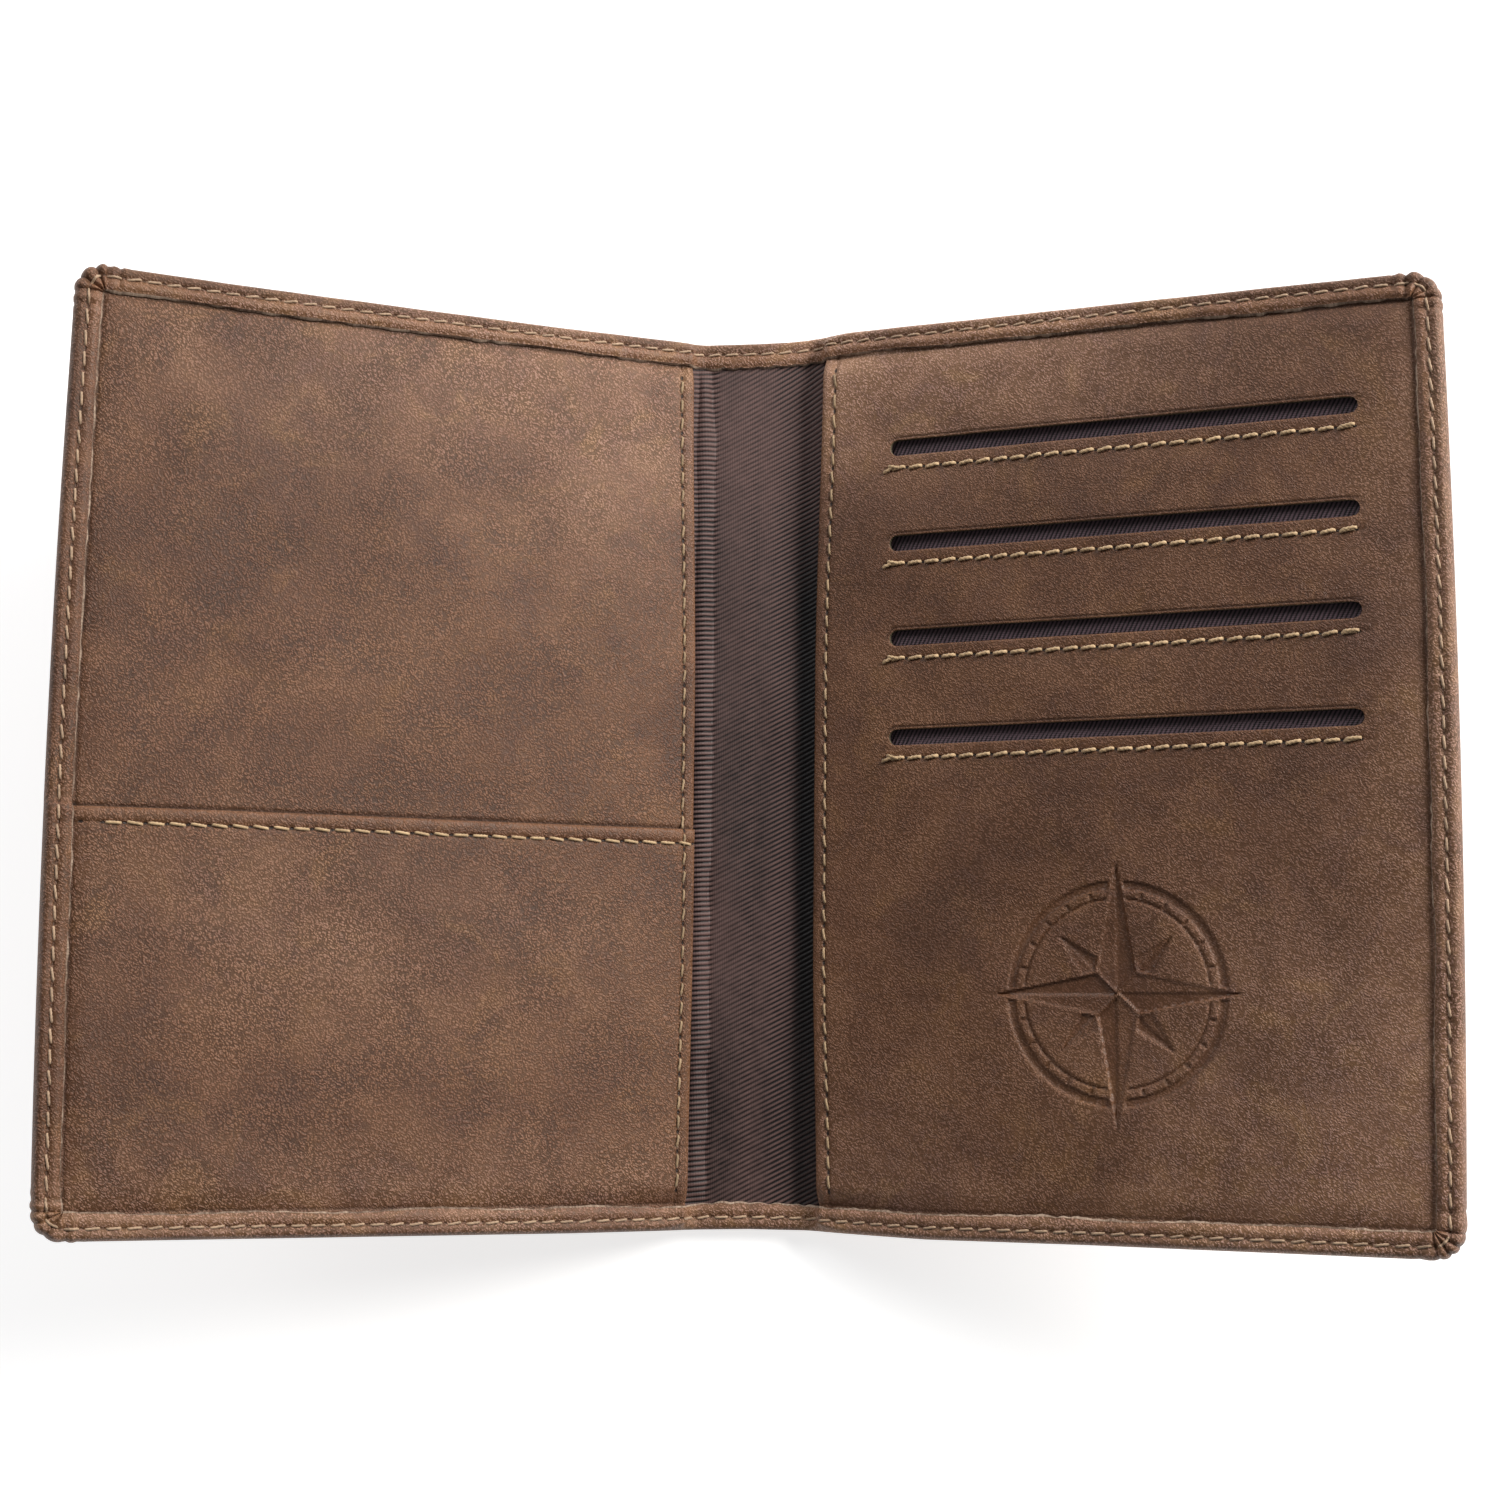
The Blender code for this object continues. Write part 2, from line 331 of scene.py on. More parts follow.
def finish_mesh(name, mesh, crisp):
    work = bmesh.new()
    work.from_mesh(mesh)
    loose = [v for v in work.verts if not v.link_faces]
    bmesh.ops.delete(work, geom=loose, context="VERTS")
    work.to_mesh(mesh)
    work.free()
    mesh.shade_smooth()
    mesh.set_sharp_from_angle(angle=math.radians(crisp))
    mesh.update()
    piece = bpy.data.objects.new(name, mesh)
    bpy.context.scene.collection.objects.link(piece)
    return piece


def grid_piece(name, side, grid, materials, data, crisp=80, crisp_rim=False, kept=None):
    """A closed piece from grid = (u, y, top, bottom) arrays; kept marks the faces that stay."""
    u, y, top, bottom = grid
    faces = grid_quads(*u.shape)
    if kept is not None:
        faces = [face for face, stays in zip(faces, kept.ravel()) if stays]
    outer, inner = to_world(side, u, y, top), to_world(side, u, y, bottom)
    return make_closed(name, side, outer, inner, faces, materials, data, crisp, crisp_rim)


def clip_to_strip(piece, axis, low, high):
    """Trims a piece to a range along one axis, in metres, and closes the cuts."""
    work = bmesh.new()
    work.from_mesh(piece.data)
    for place, sign in ((low, -1), (high, 1)):
        everything = work.verts[:] + work.edges[:] + work.faces[:]
        cut = bmesh.ops.bisect_plane(work, geom=everything, plane_co=Vector(axis) * place,
                                     plane_no=Vector(axis) * sign, clear_outer=True)
        edges = [e for e in cut["geom_cut"] if isinstance(e, bmesh.types.BMEdge)]
        bmesh.ops.holes_fill(work, edges=edges, sides=0)
    work.to_mesh(piece.data)
    work.free()


def blend_at_fold(piece):
    """Bakes a piece's transform into its mesh; its bend over the fold is already in its points."""
    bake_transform(piece)


# ---------------------------------------------------------------- materials


YARN = 0.32             # lining yarn to yarn, along a rib
# Shifts in millimetres that give each kind of piece a patch of its own in the materials' noise.
PANEL_PATCH, LINING_PATCH, SLOT_PATCH, THREAD_PATCH = 50.0, 300, 2500.0, 700.0


class Nodes:
    """A small helper that adds shader nodes and wires them."""

    def __init__(self, name):
        self.material = bpy.data.materials.new(name)
        self.material.use_nodes = True
        self.tree = self.material.node_tree
        self.shader = self.tree.nodes["Principled BSDF"]

    def add(self, kind, inputs=None, **settings):
        node = self.tree.nodes.new(kind)
        for key, value in settings.items():
            setattr(node, key, value)
        for key, value in (inputs or {}).items():
            self.feed(node.inputs[key], value)
        return node

    def feed(self, socket, value):
        if isinstance(value, bpy.types.NodeSocket):
            self.tree.links.new(value, socket)
        else:
            socket.default_value = value

    def finish(self, inputs):
        """Feeds the shader and returns the material."""
        for key, value in inputs.items():
            self.feed(self.shader.inputs[key], value)
        return self.material

    def attribute(self, name, output="Vector"):
        return self.add("ShaderNodeAttribute", attribute_name=name).outputs[output]

    def parts(self, name):
        """The X, Y and Z of an attribute."""
        return self.add("ShaderNodeSeparateXYZ", {"Vector": self.attribute(name)}).outputs

    def colour(self, red, green, blue):
        return self.add("ShaderNodeCombineColor", {"Red": red, "Green": green, "Blue": blue}).outputs[0]

    def math(self, operation, *values, clamp=False):
        node = self.add("ShaderNodeMath", operation=operation, use_clamp=clamp)
        for socket, value in zip(node.inputs, values):
            self.feed(socket, value)
        return node.outputs[0]

    def plus(self, first, second):
        return self.math("ADD", first, second)

    def minus(self, first, second):
        return self.math("SUBTRACT", first, second)

    def times(self, first, second):
        return self.math("MULTIPLY", first, second)

    def noise(self, vector, scale, detail=3.0, roughness=0.55, distortion=0.0, output="Fac"):
        return self.add("ShaderNodeTexNoise", {
            "Vector": vector, "Scale": scale, "Detail": detail,
            "Roughness": roughness, "Distortion": distortion,
        }).outputs[output]

    def cells(self, vector, scale, feature="F1"):
        return self.add("ShaderNodeTexVoronoi", {
            "Vector": vector, "Scale": scale, "Randomness": 1.0,
        }, feature=feature).outputs["Distance"]

    def stretch(self, vector, turn, scale):
        """Coordinates in which features are scale times as large along axes turned by turn degrees."""
        return self.add("ShaderNodeMapping", {
            "Vector": vector, "Rotation": (0, 0, math.radians(turn)), "Scale": scale,
        }, vector_type="TEXTURE").outputs["Vector"]

    def range(self, value, low, high, to_low=0.0, to_high=1.0):
        return self.add("ShaderNodeMapRange", {
            "Value": value, "From Min": low, "From Max": high, "To Min": to_low, "To Max": to_high,
        }, interpolation_type="SMOOTHSTEP").outputs["Result"]

    def mix(self, factor, first, second, blend="MIX"):
        node = self.add("ShaderNodeMix", data_type="RGBA", blend_type=blend)
        for key, value in (("Factor", factor), (6, first), (7, second)):
            self.feed(node.inputs[key], value)
        return node.outputs[2]

    def ramp(self, value, stops):
        node = self.add("ShaderNodeValToRGB", {"Fac": value})
        elements = node.color_ramp.elements
        while len(elements) < len(stops):
            elements.new(0.5)
        for element, (place, colour) in zip(elements, stops):
            element.position = place
            element.color = (*colour, 1.0)
        return node.outputs["Color"]

    def bump(self, height, strength, distance):
        return self.add("ShaderNodeBump", {
            "Height": height, "Strength": strength, "Distance": distance,
        }).outputs["Normal"]


def hole_mask(nodes, pitch):
    """1 inside each needle hole of the seam attribute, 0 elsewhere."""
    parts = nodes.parts("seam")
    phase = nodes.math("FRACT", nodes.plus(parts["X"], 0.5))
    along = nodes.times(nodes.minus(phase, 0.5), pitch * 0.62)
    squares = nodes.plus(nodes.math("POWER", along, 2.0), nodes.math("POWER", parts["Y"], 2.0))
    return nodes.range(nodes.math("SQRT", squares), 0.12, 0.3, 1.0, 0.0)


def scaled(colour, *factors):
    """A colour times one factor, or times one for each of red, green and blue."""
    factors = factors if len(factors) == 3 else factors * 3
    return (*(min(1.0, part * factor) for part, factor in zip(colour, factors)), 1.0)


def leather(name, dark, middle, light, pitch, hole=0.9, coarse=1.15):
    """Waxed pull-up leather: clouds, pebbled grain, pale scuffs, rubbed high edges with painted highlights,
    painted shade lines, painted sheen and needle holes painted dark.
    """
    nodes = Nodes(name)
    place = nodes.attribute("skin")
    # The seam attribute's Z: rubbed high edges with painted highlights where positive, painted shade in
    # creases and under edges where negative.
    wear_and_painted_light = nodes.parts("seam")["Z"]
    pressed = nodes.attribute("pressed", "Fac")
    paleness_and_sheen_fac = nodes.attribute("paleness_and_sheen", "Fac")

    clouds = nodes.noise(place, 0.036, 5.0, 0.58, 0.6)
    mottle = nodes.noise(place, 0.22, 4.0, 0.62)
    tone = nodes.plus(nodes.times(clouds, 0.72), nodes.times(mottle, 0.28))
    colour = nodes.ramp(tone, [(0.39, dark), (0.5, middle), (0.61, light)])
    golden = nodes.range(nodes.noise(place, 0.1, 4.0, 0.6, 1.0), 0.52, 0.72)
    colour = nodes.mix(nodes.times(golden, 0.5), colour, scaled(light, 1.1, 1.12, 0.85))
    cool = nodes.range(nodes.noise(place, 0.13, 4.0, 0.62, 1.2), 0.5, 0.7)
    colour = nodes.mix(nodes.times(cool, 0.5), colour, scaled(dark, 0.95, 0.98, 1.2))

    warp = nodes.add("ShaderNodeTexNoise", {"Vector": place, "Scale": 0.8}).outputs["Color"]
    loose = nodes.add("ShaderNodeVectorMath", {0: place, 1: warp}, operation="ADD").outputs["Vector"]
    pebble = nodes.range(nodes.cells(nodes.stretch(loose, -42, (1.4, 0.85, 1.0)), 3.0), 0.1, 0.7, 1.0, 0.0)
    fine = nodes.noise(nodes.stretch(place, -42, (1.5, 0.9, 1.0)), 5.0, 2.0, 0.6)
    grain = nodes.plus(nodes.times(pebble, 0.5), nodes.times(fine, 0.65))
    shade = nodes.range(grain, 0.28, 0.88, 0.42, 1.5)
    firm = nodes.range(nodes.noise(place, 0.12, 3.0, 0.6), 0.35, 0.65, 0.65 * coarse, coarse)
    shade = nodes.plus(1.0, nodes.times(nodes.minus(shade, 1.0), firm))
    grained = nodes.colour(nodes.math("POWER", shade, 0.85), shade, nodes.math("POWER", shade, 1.4))
    colour = nodes.mix(1.0, colour, grained, "MULTIPLY")

    cracks = nodes.cells(nodes.stretch(loose, 25, (1.0, 1.5, 1.0)), 0.62, "DISTANCE_TO_EDGE")
    crack_line = nodes.range(cracks, 0.0, 0.055, 1.0, 0.0)
    crack_zone = nodes.range(nodes.noise(place, 0.085, 4.0, 0.65, 0.8), 0.54, 0.7)
    colour = nodes.mix(nodes.times(nodes.times(crack_line, crack_zone), 0.32), colour, scaled(light, 1.6))

    # Paler and bluer: painted sheen and light, with some real paleness of the leather.
    paler = nodes.colour(*(nodes.plus(1.0, nodes.times(paleness_and_sheen_fac, share)) for share in (0.8, 1.15, 1.7)))
    colour = nodes.mix(1.0, colour, paler, "MULTIPLY")
    # Lighter where that Z is positive: rubbed edges and painted highlights.
    rubbed_and_highlit = nodes.times(nodes.math("MAXIMUM", wear_and_painted_light, 0.0), nodes.range(mottle, 0.3, 0.7, 0.4, 0.85))
    colour = nodes.mix(rubbed_and_highlit, colour, scaled(light, 1.35))
    # Darker where it is negative: painted shade and painted shadow lines.
    painted_shade = nodes.math("MULTIPLY", wear_and_painted_light, -0.8, clamp=True)
    colour = nodes.mix(painted_shade, colour, scaled(dark, 0.25))
    colour = nodes.mix(nodes.times(pressed, 0.4), colour, scaled(dark, 0.8))
    holes = hole_mask(nodes, pitch)
    # Needle holes painted near-black: painted shade inside the holes.
    colour = nodes.mix(nodes.times(holes, hole), colour, (0.006, 0.004, 0.003, 1.0))

    polish = nodes.plus(nodes.times(wear_and_painted_light, 0.16), nodes.times(pressed, 0.14))
    relief = nodes.times(grain, nodes.minus(1.0, nodes.times(pressed, 0.6)))
    relief = nodes.minus(relief, nodes.times(holes, 0.6))
    return nodes.finish({
        "Base Color": colour, "Roughness": nodes.minus(nodes.range(mottle, 0.3, 0.7, 0.5, 0.54), polish),
        "Specular IOR Level": 0.38, "Normal": nodes.bump(relief, 0.9, 0.00015),
    })


def raw_edge(name, dark, light):
    """The cut edge of a leather: compressed fibres, paler and dusty."""
    nodes = Nodes(name)
    place = nodes.attribute("skin")
    fibres = nodes.plus(nodes.times(nodes.noise(place, 2.6, 4.0, 0.7), 0.5),
                        nodes.times(nodes.noise(place, 0.16, 3.0, 0.6), 0.5))
    return nodes.finish({
        "Base Color": nodes.ramp(fibres, [(0.42, dark), (0.6, light)]),
        "Roughness": 0.85, "Normal": nodes.bump(fibres, 0.6, 0.0002),
    })


def twill(name, dark, light):
    """Dark lining cloth: satin threads along the ribs, painted darker in the furrows and lighter on the ribs
    as painted shade and highlight.
    """
    nodes = Nodes(name)
    rib = nodes.parts("weave")
    yarn = nodes.math("SINE", nodes.times(rib["Y"], 2 * math.pi / YARN))
    slub = nodes.noise(nodes.attribute("skin"), 0.6, 3.0, 0.6)
    tone = nodes.plus(nodes.times(rib["X"], 0.75), nodes.times(slub, 0.3))
    return nodes.finish({
        "Base Color": nodes.ramp(tone, [(0.25, dark), (0.85, light)]),
        "Roughness": nodes.range(slub, 0.3, 0.7, 0.48, 0.56), "Specular IOR Level": 0.32,
        "Sheen Weight": 0.08, "Sheen Roughness": 0.4, "Normal": nodes.bump(yarn, 0.35, 0.00004),
    })


def thread(name, dark, light):
    """Twisted polyester thread; the twist itself is in the mesh."""
    nodes = Nodes(name)
    place = nodes.attribute("skin")
    fuzz = nodes.noise(place, 3.0, 4.0, 0.7)
    tone = nodes.plus(nodes.times(fuzz, 0.6), nodes.times(nodes.noise(place, 0.35, 2.0, 0.5), 0.4))
    return nodes.finish({
        "Base Color": nodes.ramp(tone, [(0.32, dark), (0.62, light)]),
        "Roughness": 0.62, "Sheen Weight": 0.3, "Normal": nodes.bump(fuzz, 0.4, 0.00008),
    })


def board(name):
    """Grey bookbinder's board, sealed inside the covers."""
    nodes = Nodes(name)
    pulp = nodes.noise(nodes.add("ShaderNodeTexCoord").outputs["Object"], 900.0, 5.0, 0.7)
    return nodes.finish({
        "Base Color": nodes.ramp(pulp, [(0.3, (0.3, 0.27, 0.23)), (0.7, (0.5, 0.46, 0.4))]),
        "Roughness": 0.9, "Normal": nodes.bump(pulp, 0.4, 0.0001),
    })


def hidden_lining(name):
    """The lining behind a panel, its ribs drawn by the piece's own coordinates."""
    nodes = Nodes(name)
    place = nodes.add("ShaderNodeTexCoord").outputs["Object"]
    ribs = nodes.add("ShaderNodeTexWave", {
        "Vector": nodes.stretch(place, -63, (1, 1, 1)), "Scale": 230.0, "Distortion": 0.3,
    }).outputs["Fac"]
    return nodes.finish({
        "Base Color": nodes.ramp(ribs, [(0.1, (0.02, 0.013, 0.014)), (0.9, (0.07, 0.05, 0.052))]),
        "Roughness": 0.55, "Normal": nodes.bump(ribs, 0.5, 0.0001),
    })


# ---------------------------------------------------------------- outer leather and its hem

CORNER_STEPS = 44
PLEATS = 7
PLEAT_REACH = 4.2       # the gathers go on this far past the corner's arc
RING_REACH = 4.0        # insets between two rings, this far apart, are blended from them
SCALLOP = 2.9           # the hem's edge dips this often across the spine
FURROW = 0.22           # depth of the pull of the hem's seam
COARSE = 6              # the flat outer face keeps every so many stations


def path_stations():
    """Fine stations along the bottom edge, as u, and along the fore-edge, as y."""
    along_u = lines(-HINGE_X, (-5, 0.48), (5, 0.3), (WIDTH - CORNER, 0.48))
    along_y = lines(-(HALF - CORNER), (HALF - CORNER, 0.48))
    return along_u, along_y


def ring(inset, along_u, along_y):
    """The outline at one inset: bottom edge, corner, fore-edge, corner, top edge."""
    radius = CORNER - inset
    turns = np.linspace(-math.pi / 2, 0, CORNER_STEPS + 1)[1:-1]
    centre_u, centre_y = WIDTH - CORNER, HALF - CORNER
    low_u, low_y = centre_u + radius * np.cos(turns), -centre_y + radius * np.sin(turns)
    edge = np.full(len(along_y), WIDTH - inset)
    bottom = np.full(len(along_u), -(HALF - inset))
    u = np.concatenate([along_u, low_u, edge, low_u[::-1], along_u[::-1]])
    y = np.concatenate([bottom, low_y, along_y, -low_y[::-1], -bottom])
    return bowed(u, y), y


def pleats(along_u, along_y, seed):
    """Height of the gathers along the path: zero but at the corners."""
    straight, fore, arc = len(along_u), len(along_y), CORNER_STEPS - 1
    heights = np.zeros(2 * straight + fore + 2 * arc)
    random = np.random.default_rng(seed)
    path = np.stack(ring(0.0, along_u, along_y), 1)
    distance = cumulative(path)
    for start in (straight, straight + arc + fore):
        first, last = distance[start] - PLEAT_REACH, distance[start + arc] + PLEAT_REACH
        t = (distance - first) / (last - first)
        warped = t + 0.035 * np.sin(2 * math.pi * t * 1.5 + random.uniform(0, 6))
        folds = np.abs(np.sin(math.pi * PLEATS * warped)) ** 0.8 - 0.6
        sizes = random.uniform(0.5, 1.2, PLEATS + 2)[np.clip((warped * PLEATS).astype(int), 0, PLEATS + 1)]
        fade = smooth(0, 0.25, t) * smooth(1, 0.75, t)
        heights = heights + np.where((t > 0) & (t < 1), folds * sizes * fade, 0)
    return heights


def outer_level(inset):
    """The outer face: it steps up where the stiffener board ends."""
    return OUTER_FACE + 0.62 * smooth(6.4, 3.8, inset)


def skin_profile():
    """Rows across the edge: (inset, share of the way from outer face to hem top, extra height)."""
    rows = [(s, 0.0, outer_level(s) - outer_level(1.0) + FURROW * bump(s, HEM_SEAM, 0.34)) for s in
            (4.3, 3.7, 3.1, 2.7, 2.4, 2.15, HEM_SEAM, 1.65, 1.4, 1.15)]
    for turn in np.radians(np.linspace(-90, 90, 11)):
        rows.append((0.95 * (1 - math.cos(turn)), 0.5 + 0.5 * math.sin(turn), 0.0))
    for s in (1.2, 1.45, 1.7, HEM_SEAM, 2.1, 2.35, 2.6, 2.9, 3.2, 3.5, 3.7, HEM_WIDTH):
        roll = 0.06 * bump(s, 2.95, 0.55) - 0.3 * smooth(3.1, HEM_WIDTH, s)
        rows.append((s, 1.0, roll - (FURROW + 0.06) * bump(s, HEM_SEAM, 0.36)))
    return rows


def hem_top(side, u, y, inset):
    """Top of the hem, with the small tucks where it steps off a panel's edge."""
    spread = smooth(1.6, 0.3, inset)
    under = squeezed(stack_top(side, u, y, spread), u, 0.0)
    edge = panel_edge(side, y)
    size = (1 - 0.7 * spread) * (1.0 if side < 0 else 0.5)
    tucks = 0.32 * bump(u, edge + 0.9, 0.55) - 0.2 * bump(u, edge - 0.3, 0.4) + 0.2 * bump(u, edge - 1.4, 0.6)
    creases = 0.1 * np.abs(np.sin(u * 1.9 + 0.6)) * bump(u, edge + 3.4, 2.6) * (side < 0)
    waves = 0.08 * ripple(u, y, 13.0, 3 if y.mean() > 0 else 5) * smooth(-HINGE_X, -HINGE_X + 4, u)
    return under + HEM_LEATHER + 0.1 + (tucks + creases) * size + waves


def hem_surface(side, seed):
    """The fine band round the edge: points[row, station], wear with painted highlight and shade, distances
    and the skived edge.
    """
    along_u, along_y = path_stations()
    folds = pleats(along_u, along_y, seed)
    crests, furrows = np.clip(folds, 0, 1), np.clip(-folds - 0.1, 0, 1)
    u_mid, y_mid = ring(HEM_SEAM, along_u, along_y)
    low = outer_level(1.0)
    distance = cumulative(np.stack([u_mid, y_mid], 1))
    free = smooth(0, 5, distance) * smooth(distance[-1], distance[-1] - 5, distance)

    def wander(length, number):
        return ripple(distance, 0 * distance, length, seed + number)

    fray = wander(2.2, 2) * free
    scallops = sum(np.abs(np.sin(math.pi * run / SCALLOP)) * smooth(HINGE_X + 1, HINGE_X - 2, run)
                   for run in (distance, distance[-1] - distance))
    ragged = 0.16 * (wander(16.0, 1) * free) + 0.05 * fray + 0.35 * np.abs(folds) + 0.22 * scallops
    # lit: how much painted highlight and shade the hem's top takes, most at the head, less at the foot.
    lit = np.clip(smooth(40, 60, y_mid) + 0.4 * smooth(-60, -66, y_mid), 0.15, 1)
    rows, wear_and_painted_light = [], []
    for inset, share, extra in skin_profile():
        shown = inset + (ragged * smooth(2.6, HEM_WIDTH, inset) if share == 1.0 else 0 * distance)
        u, y = ring_varied(shown - 0.4 * folds * smooth(1.3, 0.0, inset), along_u, along_y)
        top = hem_top(side, u, y, inset)
        height = low + (top - low) * share + extra
        height = height + 0.75 * folds * smooth(0.3, 1.0, share) * smooth(4.6, 3.4, inset)
        height = height - 0.2 * folds * smooth(0.5, 0.0, share) * smooth(3.2, 1.0, inset)
        height = height + 0.05 * ripple(u, y, 7.0, seed + 4) * free * share
        rows.append(np.stack([u, y, height], 1))
        # Painted highlight on the strip inside the stitches, painted shade on the outer band, both by lit;
        # pleat crests paler, pleat furrows painted shade.
        high = smooth(0.85, 1.0, share) * (1.1 * bump(inset, 2.9, 0.7) - 0.6 * bump(inset, 1.0, 0.8))
        wear_and_painted_light.append(high * 0.55 * lit + 0.6 * crests * share - 1.1 * furrows * share)
    skive = HEM_SKIVE * (1 + 0.5 * wander(7.0, 6)) + 0.07 * fray
    u, y = ring_varied(HEM_WIDTH + np.maximum(skive, 0.05) + ragged, along_u, along_y)
    foot = np.stack([u, y, hem_top(side, u, y, HEM_WIDTH) - HEM_LEATHER + 0.04], 1)
    return np.array(rows), np.array(wear_and_painted_light), distance, foot


def ring_varied(insets, along_u, along_y):
    """The outline with its own inset at every station."""
    u_low, y_low = ring(0.0, along_u, along_y)
    u_high, y_high = ring(RING_REACH, along_u, along_y)
    part = insets / RING_REACH
    return u_low + (u_high - u_low) * part, y_low + (y_high - y_low) * part


def coarse_picks(values, keep):
    """Indices of a sparse choice of stations: all where keep() says so, else a few."""
    picks = [i for i in range(len(values)) if keep(values[i]) or i % COARSE == 0]
    return sorted({0, len(values) - 1, *picks})


def face_points(side, u, y):
    """The flat outer face: the board's edge shows as a soft step, the fold as fine creases."""
    inset = inset_of(np.maximum(u, 0), y)
    uneven = 0.1 * ripple(u, y, 34.0, 40 + side) * smooth(1, 14, u)
    creases = 0.05 * ripple(u * 3.0, y * 0.5, 9.0, 44) * bump(u, 0.0, 3.2)
    return stacked(u, y, outer_level(inset) + uneven * smooth(5, 9, inset) + creases)


def skin_faces(rows, stations, picks_u, picks_y, count_u, count_y):
    """Faces of the band, of the sparse outer face and of the many-sided faces between them."""
    base = rows * stations
    wide, tall = len(picks_u) - 1, len(picks_y) - 1
    faces = grid_quads(rows, stations)
    faces += [[base + k for k in face] for face in grid_quads(wide + 1, tall + 1)]

    def join(corners, first, last):
        """One face between grid corners and the band's outermost row, from first back to last."""
        faces.append([base + a * (tall + 1) + b for a, b in corners] + list(range(first, last - 1, -1)))

    fore = count_u + CORNER_STEPS - 1
    end = stations - 1
    for a in range(wide):
        join([(a, 0), (a + 1, 0)], picks_u[a + 1], picks_u[a])
        join([(a + 1, tall), (a, tall)], end - picks_u[a], end - picks_u[a + 1])
    for b in range(tall):
        join([(wide, b), (wide, b + 1)], fore + picks_y[b + 1], fore + picks_y[b])
    join([(wide, 0)], fore, count_u - 1)
    join([(wide, tall)], fore + count_y + CORNER_STEPS - 1, fore + count_y - 1)
    return faces


def make_skin(name, materials):
    """Half of the outer leather; returns its seam's inner and outer line and the stitch pitch."""
    side = SIDES[name]
    along_u, along_y = path_stations()
    band, wear_and_painted_light, distance, foot = hem_surface(side, 10 if side < 0 else 20)
    pitch = distance[-1] / round(distance[-1] / HEM_PITCH)
    picks_u = coarse_picks(along_u, lambda u: abs(u) < 4.6 or u > WIDTH - CORNER - 2.4)
    picks_y = coarse_picks(along_y, lambda y: abs(y) > HALF - CORNER - 2.4)
    grid_u, grid_y = np.meshgrid(along_u[picks_u], along_y[picks_y], indexing="ij")
    face = face_points(side, bowed(grid_u, grid_y), grid_y)
    rows, stations = band.shape[:2]
    faces = skin_faces(rows, stations, picks_u, picks_y, len(along_u), len(along_y))
    flat = np.concatenate([band.reshape(-1, 3), face])
    insets = [row[0] for row in skin_profile()]
    across = np.repeat(np.abs(np.array(insets) - HEM_SEAM)[:, None], stations, 1)
    seam = stacked(np.tile(distance / pitch, (rows, 1)), across, wear_and_painted_light)
    seam = np.concatenate([seam, np.tile([0.5, 9.0, 0.0], (len(face), 1))])
    outer = to_world(side, *flat.T)
    shown = [f[::-1] for f in faces] if side < 0 else faces
    inner = outer - vertex_normals(outer, shown) * HEM_LEATHER * MM
    inner[(rows - 1) * stations:rows * stations] = to_world(side, *foot.T)
    u, y, _ = flat.T
    data = {"skin": flat * np.array([side, 1, 1]), "seam": seam,
            "paleness_and_sheen": paleness_and_sheen(side, u, y) + hem_paleness_and_sheen(side, u, y)}
    piece = make_closed(name + "_cover_skin", side, outer, inner, faces,
                        [materials["cover"], materials["cut"]], data)
    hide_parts(name + "_cover_leather", "spine_leather")
    blend_at_fold(piece)
    outside, inside = [i for i, inset in enumerate(insets) if inset == HEM_SEAM]
    return band[inside], band[outside], pitch


# ---------------------------------------------------------------- panels


def make_panel(name, node, side, grid, materials, seam, kept=None, pressed=None):
    """One leather panel, in place of a CAD node."""
    u, y, top, _ = grid
    data = {"skin": stacked(side * u, y, top + PANEL_PATCH * len(name)), "seam": stacked(*seam),
            "paleness_and_sheen": paleness_and_sheen(side, u, y)}
    if pressed is not None:
        data["pressed"] = tripled(pressed)
    piece = grid_piece(name, side, grid, materials, data, 42, kept=kept)
    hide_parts(node)
    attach(piece, "front_cover" if side < 0 else "back_cover")


def rounded(distance, radius):
    """How far a rounded edge has dropped at a distance in from it."""
    near = np.clip(radius - distance, 0, radius)
    return radius - np.sqrt(np.maximum(radius**2 - near**2, 0))


HEM_LINE = 4.2          # where the hem's cut edge presses into the panels
UNDER_HEM = 1.6         # the panels end this far in from the outline
PANEL_SPAN = 93.0       # nominal width of a panel, from its spine edge
# Distances from a panel's spine edge for its first grid lines.
EDGE_OFFSETS = [0, 0.04, 0.12, 0.24, 0.4, 0.6, 0.9, 1.3, 1.65, 1.9, 2.08, EDGE_SEAM, 2.42, 2.6, 2.85, 3.3]


def panel_columns(step, *stretches):
    """Distances out from a panel's spine edge for its grid lines, fine at the hem's line."""
    ending = ((PANEL_SPAN - 3.4, step), (PANEL_SPAN - 1.9, 0.17), (PANEL_SPAN, 1.0))
    return np.array(EDGE_OFFSETS + list(lines(EDGE_OFFSETS[-1], *stretches, *ending)[1:]))


def hem_rows(step, *stretches):
    """Grid lines along y from foot to head, fine at the hem's lines."""
    end = HALF - UNDER_HEM
    return lines(-end, (-end + 2.0, 1.0), (-end + 3.5, 0.17), *stretches,
                 (end - 3.5, step), (end - 2.0, 0.17), (end, 1.0))


def panel_grid(side, offsets, along_y):
    """u, y and the distance from the spine edge at every point of a panel."""
    across, y = np.meshgrid(offsets, along_y)
    edge = panel_edge(side, y)
    stop = fore_edge(y) - UNDER_HEM
    u = edge + across * (stop - edge) / offsets[-1]
    near = smooth(8.0, 4.0, across)
    return u * (1 - near) + (edge + across) * near, y, across


